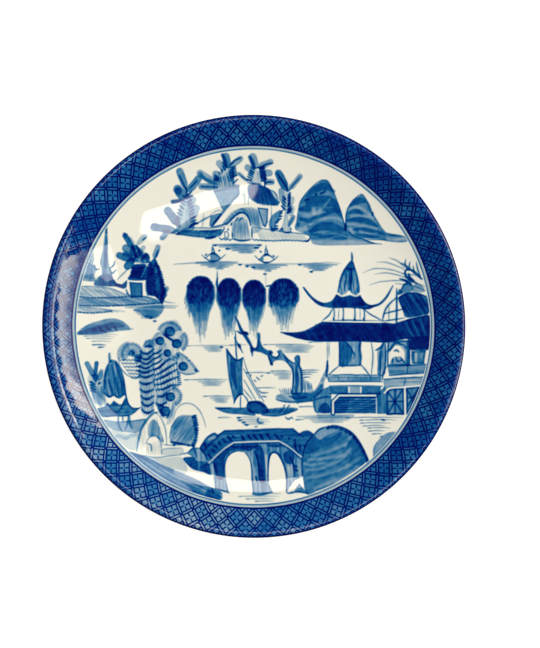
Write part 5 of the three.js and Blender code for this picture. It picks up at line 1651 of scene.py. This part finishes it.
def softened(densities, passes):
    """The cobalt spreads a little into the glaze as it melts"""
    for _ in range(passes):
        for axis in (0, 1):
            densities = (np.roll(densities, 1, axis) + 2 * densities + np.roll(densities, -1, axis)) / 4
    return densities


def finished(piece, material, nodes):
    piece.data.materials.append(material)
    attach(piece, "root")
    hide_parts(*nodes)
    return piece


finished(painted_disc("painted_well", PAINTING_RADIUS, WELL_SIDE, softened(sheet, 2)), painted_glaze(),
         ["landscape_painting"])
finished(turned("ring_line", face_line(PAINTING_RADIUS, RING_LINE_OUTER, 0.2), 4), ring_glaze(),
         ["inner_ring_line"])

face = face_line(RING_LINE_OUTER, lip_point(LIP_START)[0], 0.3)
lip = lip_line(LIP_START, LIP_PRINT_END, 24)[1:]
border_line = np.vstack([face, lip])
border = turned("lattice_print", border_line, 6)
# Along the border the print is laid by radius, and over the lip by the distance travelled
travel = np.concatenate([[0], np.cumsum(np.hypot(*np.diff(border_line, axis=0).T))])
LIP_TRAVEL_SHARE = 0.88
face_end = len(face) - 1
across = np.where(np.arange(len(border_line)) <= face_end, border_line[:, 0],
                  border_line[face_end, 0] + (travel - travel[face_end]) * LIP_TRAVEL_SHARE)
layer = border.data.attributes.new("across", "FLOAT", "POINT")
layer.data.foreach_set("value", np.repeat(across, ROUND).astype(np.float32))
finished(border, border_glaze(), ["lattice_border"])

finished(turned("rim_line", lip_line(LIP_PRINT_END, LIP_LINE_END, 14), 4), edge_glaze(), ["rim_edge_line"])
back = np.vstack([lip_line(LIP_LINE_END, LIP_END, 10),
                  back_line(FOOT_ROOT[0], lip_point(LIP_END)[0], 0.8)[::-1][1:],
                  [(FOOT_OUTER_TOP, FLOOR_UNDER + 0.5)]])
finished(turned("back_glaze", back, 4), plain_glaze("back_glaze"), ["underside_glaze"])
recess = np.stack([np.linspace(FOOT_INNER_TOP, 0.01, 40), np.full(40, FLOOR_UNDER)], 1)
finished(turned("recess_glaze", recess), plain_glaze("recess_glaze"), ["foot_recess_glaze"])
foot = np.array([(85.4, 4.3), (85.2, 3.2), (84.6, 1.9), (83.9, 0.9), (83.6, 0.4), (83.2, 0.08), (82.8, 0),
                 (80.9, 0), (80.4, 0.1), (80.0, 0.5), (79.6, 1.3), (79.3, 2.2), (78.95, 3.3), (78.9, 3.8)])
finished(turned("foot", foot, 4), bare_clay("foot_clay"), ["foot_ring"])
biscuit = bare_clay("biscuit")
for name in ("well_floor", "cavetto_wall", "rim_flange"):
    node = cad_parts[name]
    node.data.materials.clear()
    node.data.materials.append(biscuit)


# ---------------------------------------------------------------- floor, lights and camera
scene = bpy.context.scene
scene.view_settings.view_transform = "Standard"

FLOOR_REACH = 3
floor_mesh = bpy.data.meshes.new("floor")
floor_corners = [(FLOOR_REACH * x, FLOOR_REACH * y, 0) for x, y in ((-1, -1), (1, -1), (1, 1), (-1, 1))]
floor_mesh.from_pydata(floor_corners, [], [(0, 1, 2, 3)])
floor = bpy.data.objects.new("floor", floor_mesh)
scene.collection.objects.link(floor)
paper = Finish("paper")
paper_tint = paper.ramp(paper.noise(2.0, 3.0), [(0.3, colour(146, 146, 146)), (0.7, colour(152, 152, 152))])
paper.link(paper_tint, paper.surface.inputs["Base Color"])
paper.surface.inputs["Roughness"].default_value = 0.9
paper.surface.inputs["Specular IOR Level"].default_value = 0.0
paper.surface.inputs["Emission Color"].default_value = (1, 1, 1, 1)
paper.surface.inputs["Emission Strength"].default_value = 0.85
floor.data.materials.append(paper.material)
floor.visible_glossy = False

world = bpy.data.worlds.new("studio")
world.use_nodes = True
world.node_tree.nodes["Background"].inputs["Color"].default_value = (0.96, 0.98, 1.0, 1)
world.node_tree.nodes["Background"].inputs["Strength"].default_value = 0.03
scene.world = world

# One broad soft light from above, a little behind and to the right, that doesn't show in the glaze
DOME_SIZE, DOME_POWER = 3.4, 78.0
DOME_PLACE = Vector((0.26, 0.52, 2.6))
dome_data = bpy.data.lights.new("dome", "AREA")
dome_data.shape = "SQUARE"
dome_data.size = DOME_SIZE
dome_data.energy = DOME_POWER
dome = bpy.data.objects.new("dome", dome_data)
dome.location = DOME_PLACE
dome.rotation_euler = DOME_PLACE.to_track_quat("Z", "Y").to_euler()
dome.visible_glossy = False
scene.collection.objects.link(dome)


def panel(name, corners, glow, tint, fade=None):
    """A glowing shape whose mirror image shows in the glaze; it may fade from one height to another"""
    mesh = bpy.data.meshes.new(name)
    mesh.from_pydata(corners, [], [tuple(range(len(corners)))])
    light = bpy.data.objects.new(name, mesh)
    scene.collection.objects.link(light)
    finish = Finish(name)
    finish.surface.inputs["Base Color"].default_value = (0, 0, 0, 1)
    finish.surface.inputs["Specular IOR Level"].default_value = 0.0
    finish.surface.inputs["Emission Color"].default_value = (*tint, 1)
    finish.surface.inputs["Emission Strength"].default_value = glow
    if fade:
        height = finish.split(finish.place())[2]
        dimmed = finish.math("MULTIPLY", finish.step(height, *fade), glow * FADE_DEPTH)
        finish.link(finish.math("SUBTRACT", glow, dimmed), finish.surface.inputs["Emission Strength"])
    mesh.materials.append(finish.material)


# The camera looks down from the front left, a little off the upright. One row of the picture spans PIXEL
PIXEL = 0.6143 * MM
IMAGE_HEIGHT = 648
SENSOR_WIDTH = 36
DISTANCE = 1.6
TILT = math.radians(5)
AIM = Vector((0.00945, 0.00094, 0.0195))
toward = Vector((-math.sin(TILT) * math.sqrt(0.5), -math.sin(TILT) * math.sqrt(0.5), math.cos(TILT)))
eye = AIM + toward * DISTANCE

# Panels that stand for the room's windows and walls, on a ceiling and on a wall to the right, in metres
CEILING = 4.0
WALL = 2.2
FADE_DEPTH = 0.85
NUDGE = 0.01


def mirrored(x, y):
    """The point of the ceiling that the camera sees mirrored at a place on the face, given in millimetres"""
    r = math.hypot(x, y)
    slope = float(face_height(r + NUDGE) - face_height(r - NUDGE)) / (2 * NUDGE)
    normal = Vector((-slope * x / r, -slope * y / r, 1)).normalized()
    place = Vector((x, y, float(face_height(r)))) * MM
    ray = (place - eye).reflect(normal)
    return place + ray * ((CEILING - place.z) / ray.z)


def overhead(*places):
    """Corners of a panel on the ceiling, from where its mirror image shows on the face"""
    return [tuple(mirrored(x, y)) for x, y in places]


def beside(*corners):
    """Corners of a panel on the wall to the right, each given as a bearing and a height in degrees"""
    return [(WALL, WALL * math.tan(turn), WALL * math.tan(rise) / math.cos(turn))
            for turn, rise in np.radians(corners)]


# The flat floor of the plate mirrors one circle of the ceiling, and the window goes round it
floor_image = mirrored(NUDGE, 0)
KEPT_CLEAR = 1.12 * (mirrored(FLAT_RADIUS, 0) - floor_image).length
round_floor_image = [tuple(floor_image + KEPT_CLEAR * Vector((math.cos(turn), math.sin(turn), 0)))
                     for turn in np.radians(np.linspace(-90, -42, 5))]
left_of_floor = overhead((-63.5, 51.2), (-71.3, 58.2), (-70.1, 66), (-67.8, 70.4), (-56.5, 74.7),
                         (-44.4, 79), (-27, 84.2))
panel("window", overhead((0.7, 87.4)) + round_floor_image + left_of_floor, 6.2, (1.0, 0.96, 0.86))
panel("low_window", overhead((30, -92.5), (8, -95), (-25, -91.5), (-50, -88), (-50, -93), (-30, -98.5),
                             (16, -101.2), (31, -99)), 6.0, (1.0, 0.89, 0.78))
between_walls = overhead((-97, 32), (-91, 26.5))
panel("side_window", overhead((-83, 30), (-89, 50), (-97, 48))
      + [(2.35, -0.64, CEILING), (2.35, -0.3, CEILING)] + between_walls, 4.2, (1.0, 0.97, 0.93))
panel("warm_wall", overhead((-77, 10), (-80, 26)) + between_walls[::-1]
      + [(2.3, -0.28, CEILING), (2.3, 0.3, CEILING)] + overhead((-104, -15), (-77, -15)),
      0.7, (1.0, 0.9, 0.7))
sky_corners = ((1.3, 1.1), (2.2, 0.95), (2.2, 1.5), (1.45, 2.15), (1.0, 2.15), (1.05, 1.7), (1.25, 1.45))
panel("cool_sky", [(x, y, CEILING) for x, y in sky_corners], 3.0, (0.9, 0.95, 1.0))

SIDE_FADE = (0.95, 1.8)
panel("bright_side", beside((-13, 15), (-6, 15), (-6, 23), (17, 23), (17, 38), (-19, 38)), 7.6,
      (1.0, 0.93, 0.72), SIDE_FADE)
panel("warm_side", beside((17, 23), (24, 23), (27.5, 26), (33, 34), (33, 38), (28, 38), (17, 29)), 10.5,
      (1.0, 0.85, 0.62))
panel("warm_top", beside((17, 29), (28, 38), (17, 38)), 3.6, (1.0, 0.88, 0.6))
panel("dim_side", beside((-19, 38), (33, 38), (36, 48), (-19, 48)), 1.8, (1.0, 0.97, 0.96))

camera_data = bpy.data.cameras.new("camera")
camera_data.sensor_width = SENSOR_WIDTH
camera_data.lens = SENSOR_WIDTH * DISTANCE / (PIXEL * IMAGE_HEIGHT)
camera = bpy.data.objects.new("camera", camera_data)
right = Vector((0, 1, 0)).cross(toward).normalized()
upward = toward.cross(right)
turn = Matrix((right, upward, toward)).transposed().to_4x4()
camera.matrix_world = Matrix.Translation(eye) @ turn
scene.collection.objects.link(camera)
scene.camera = camera
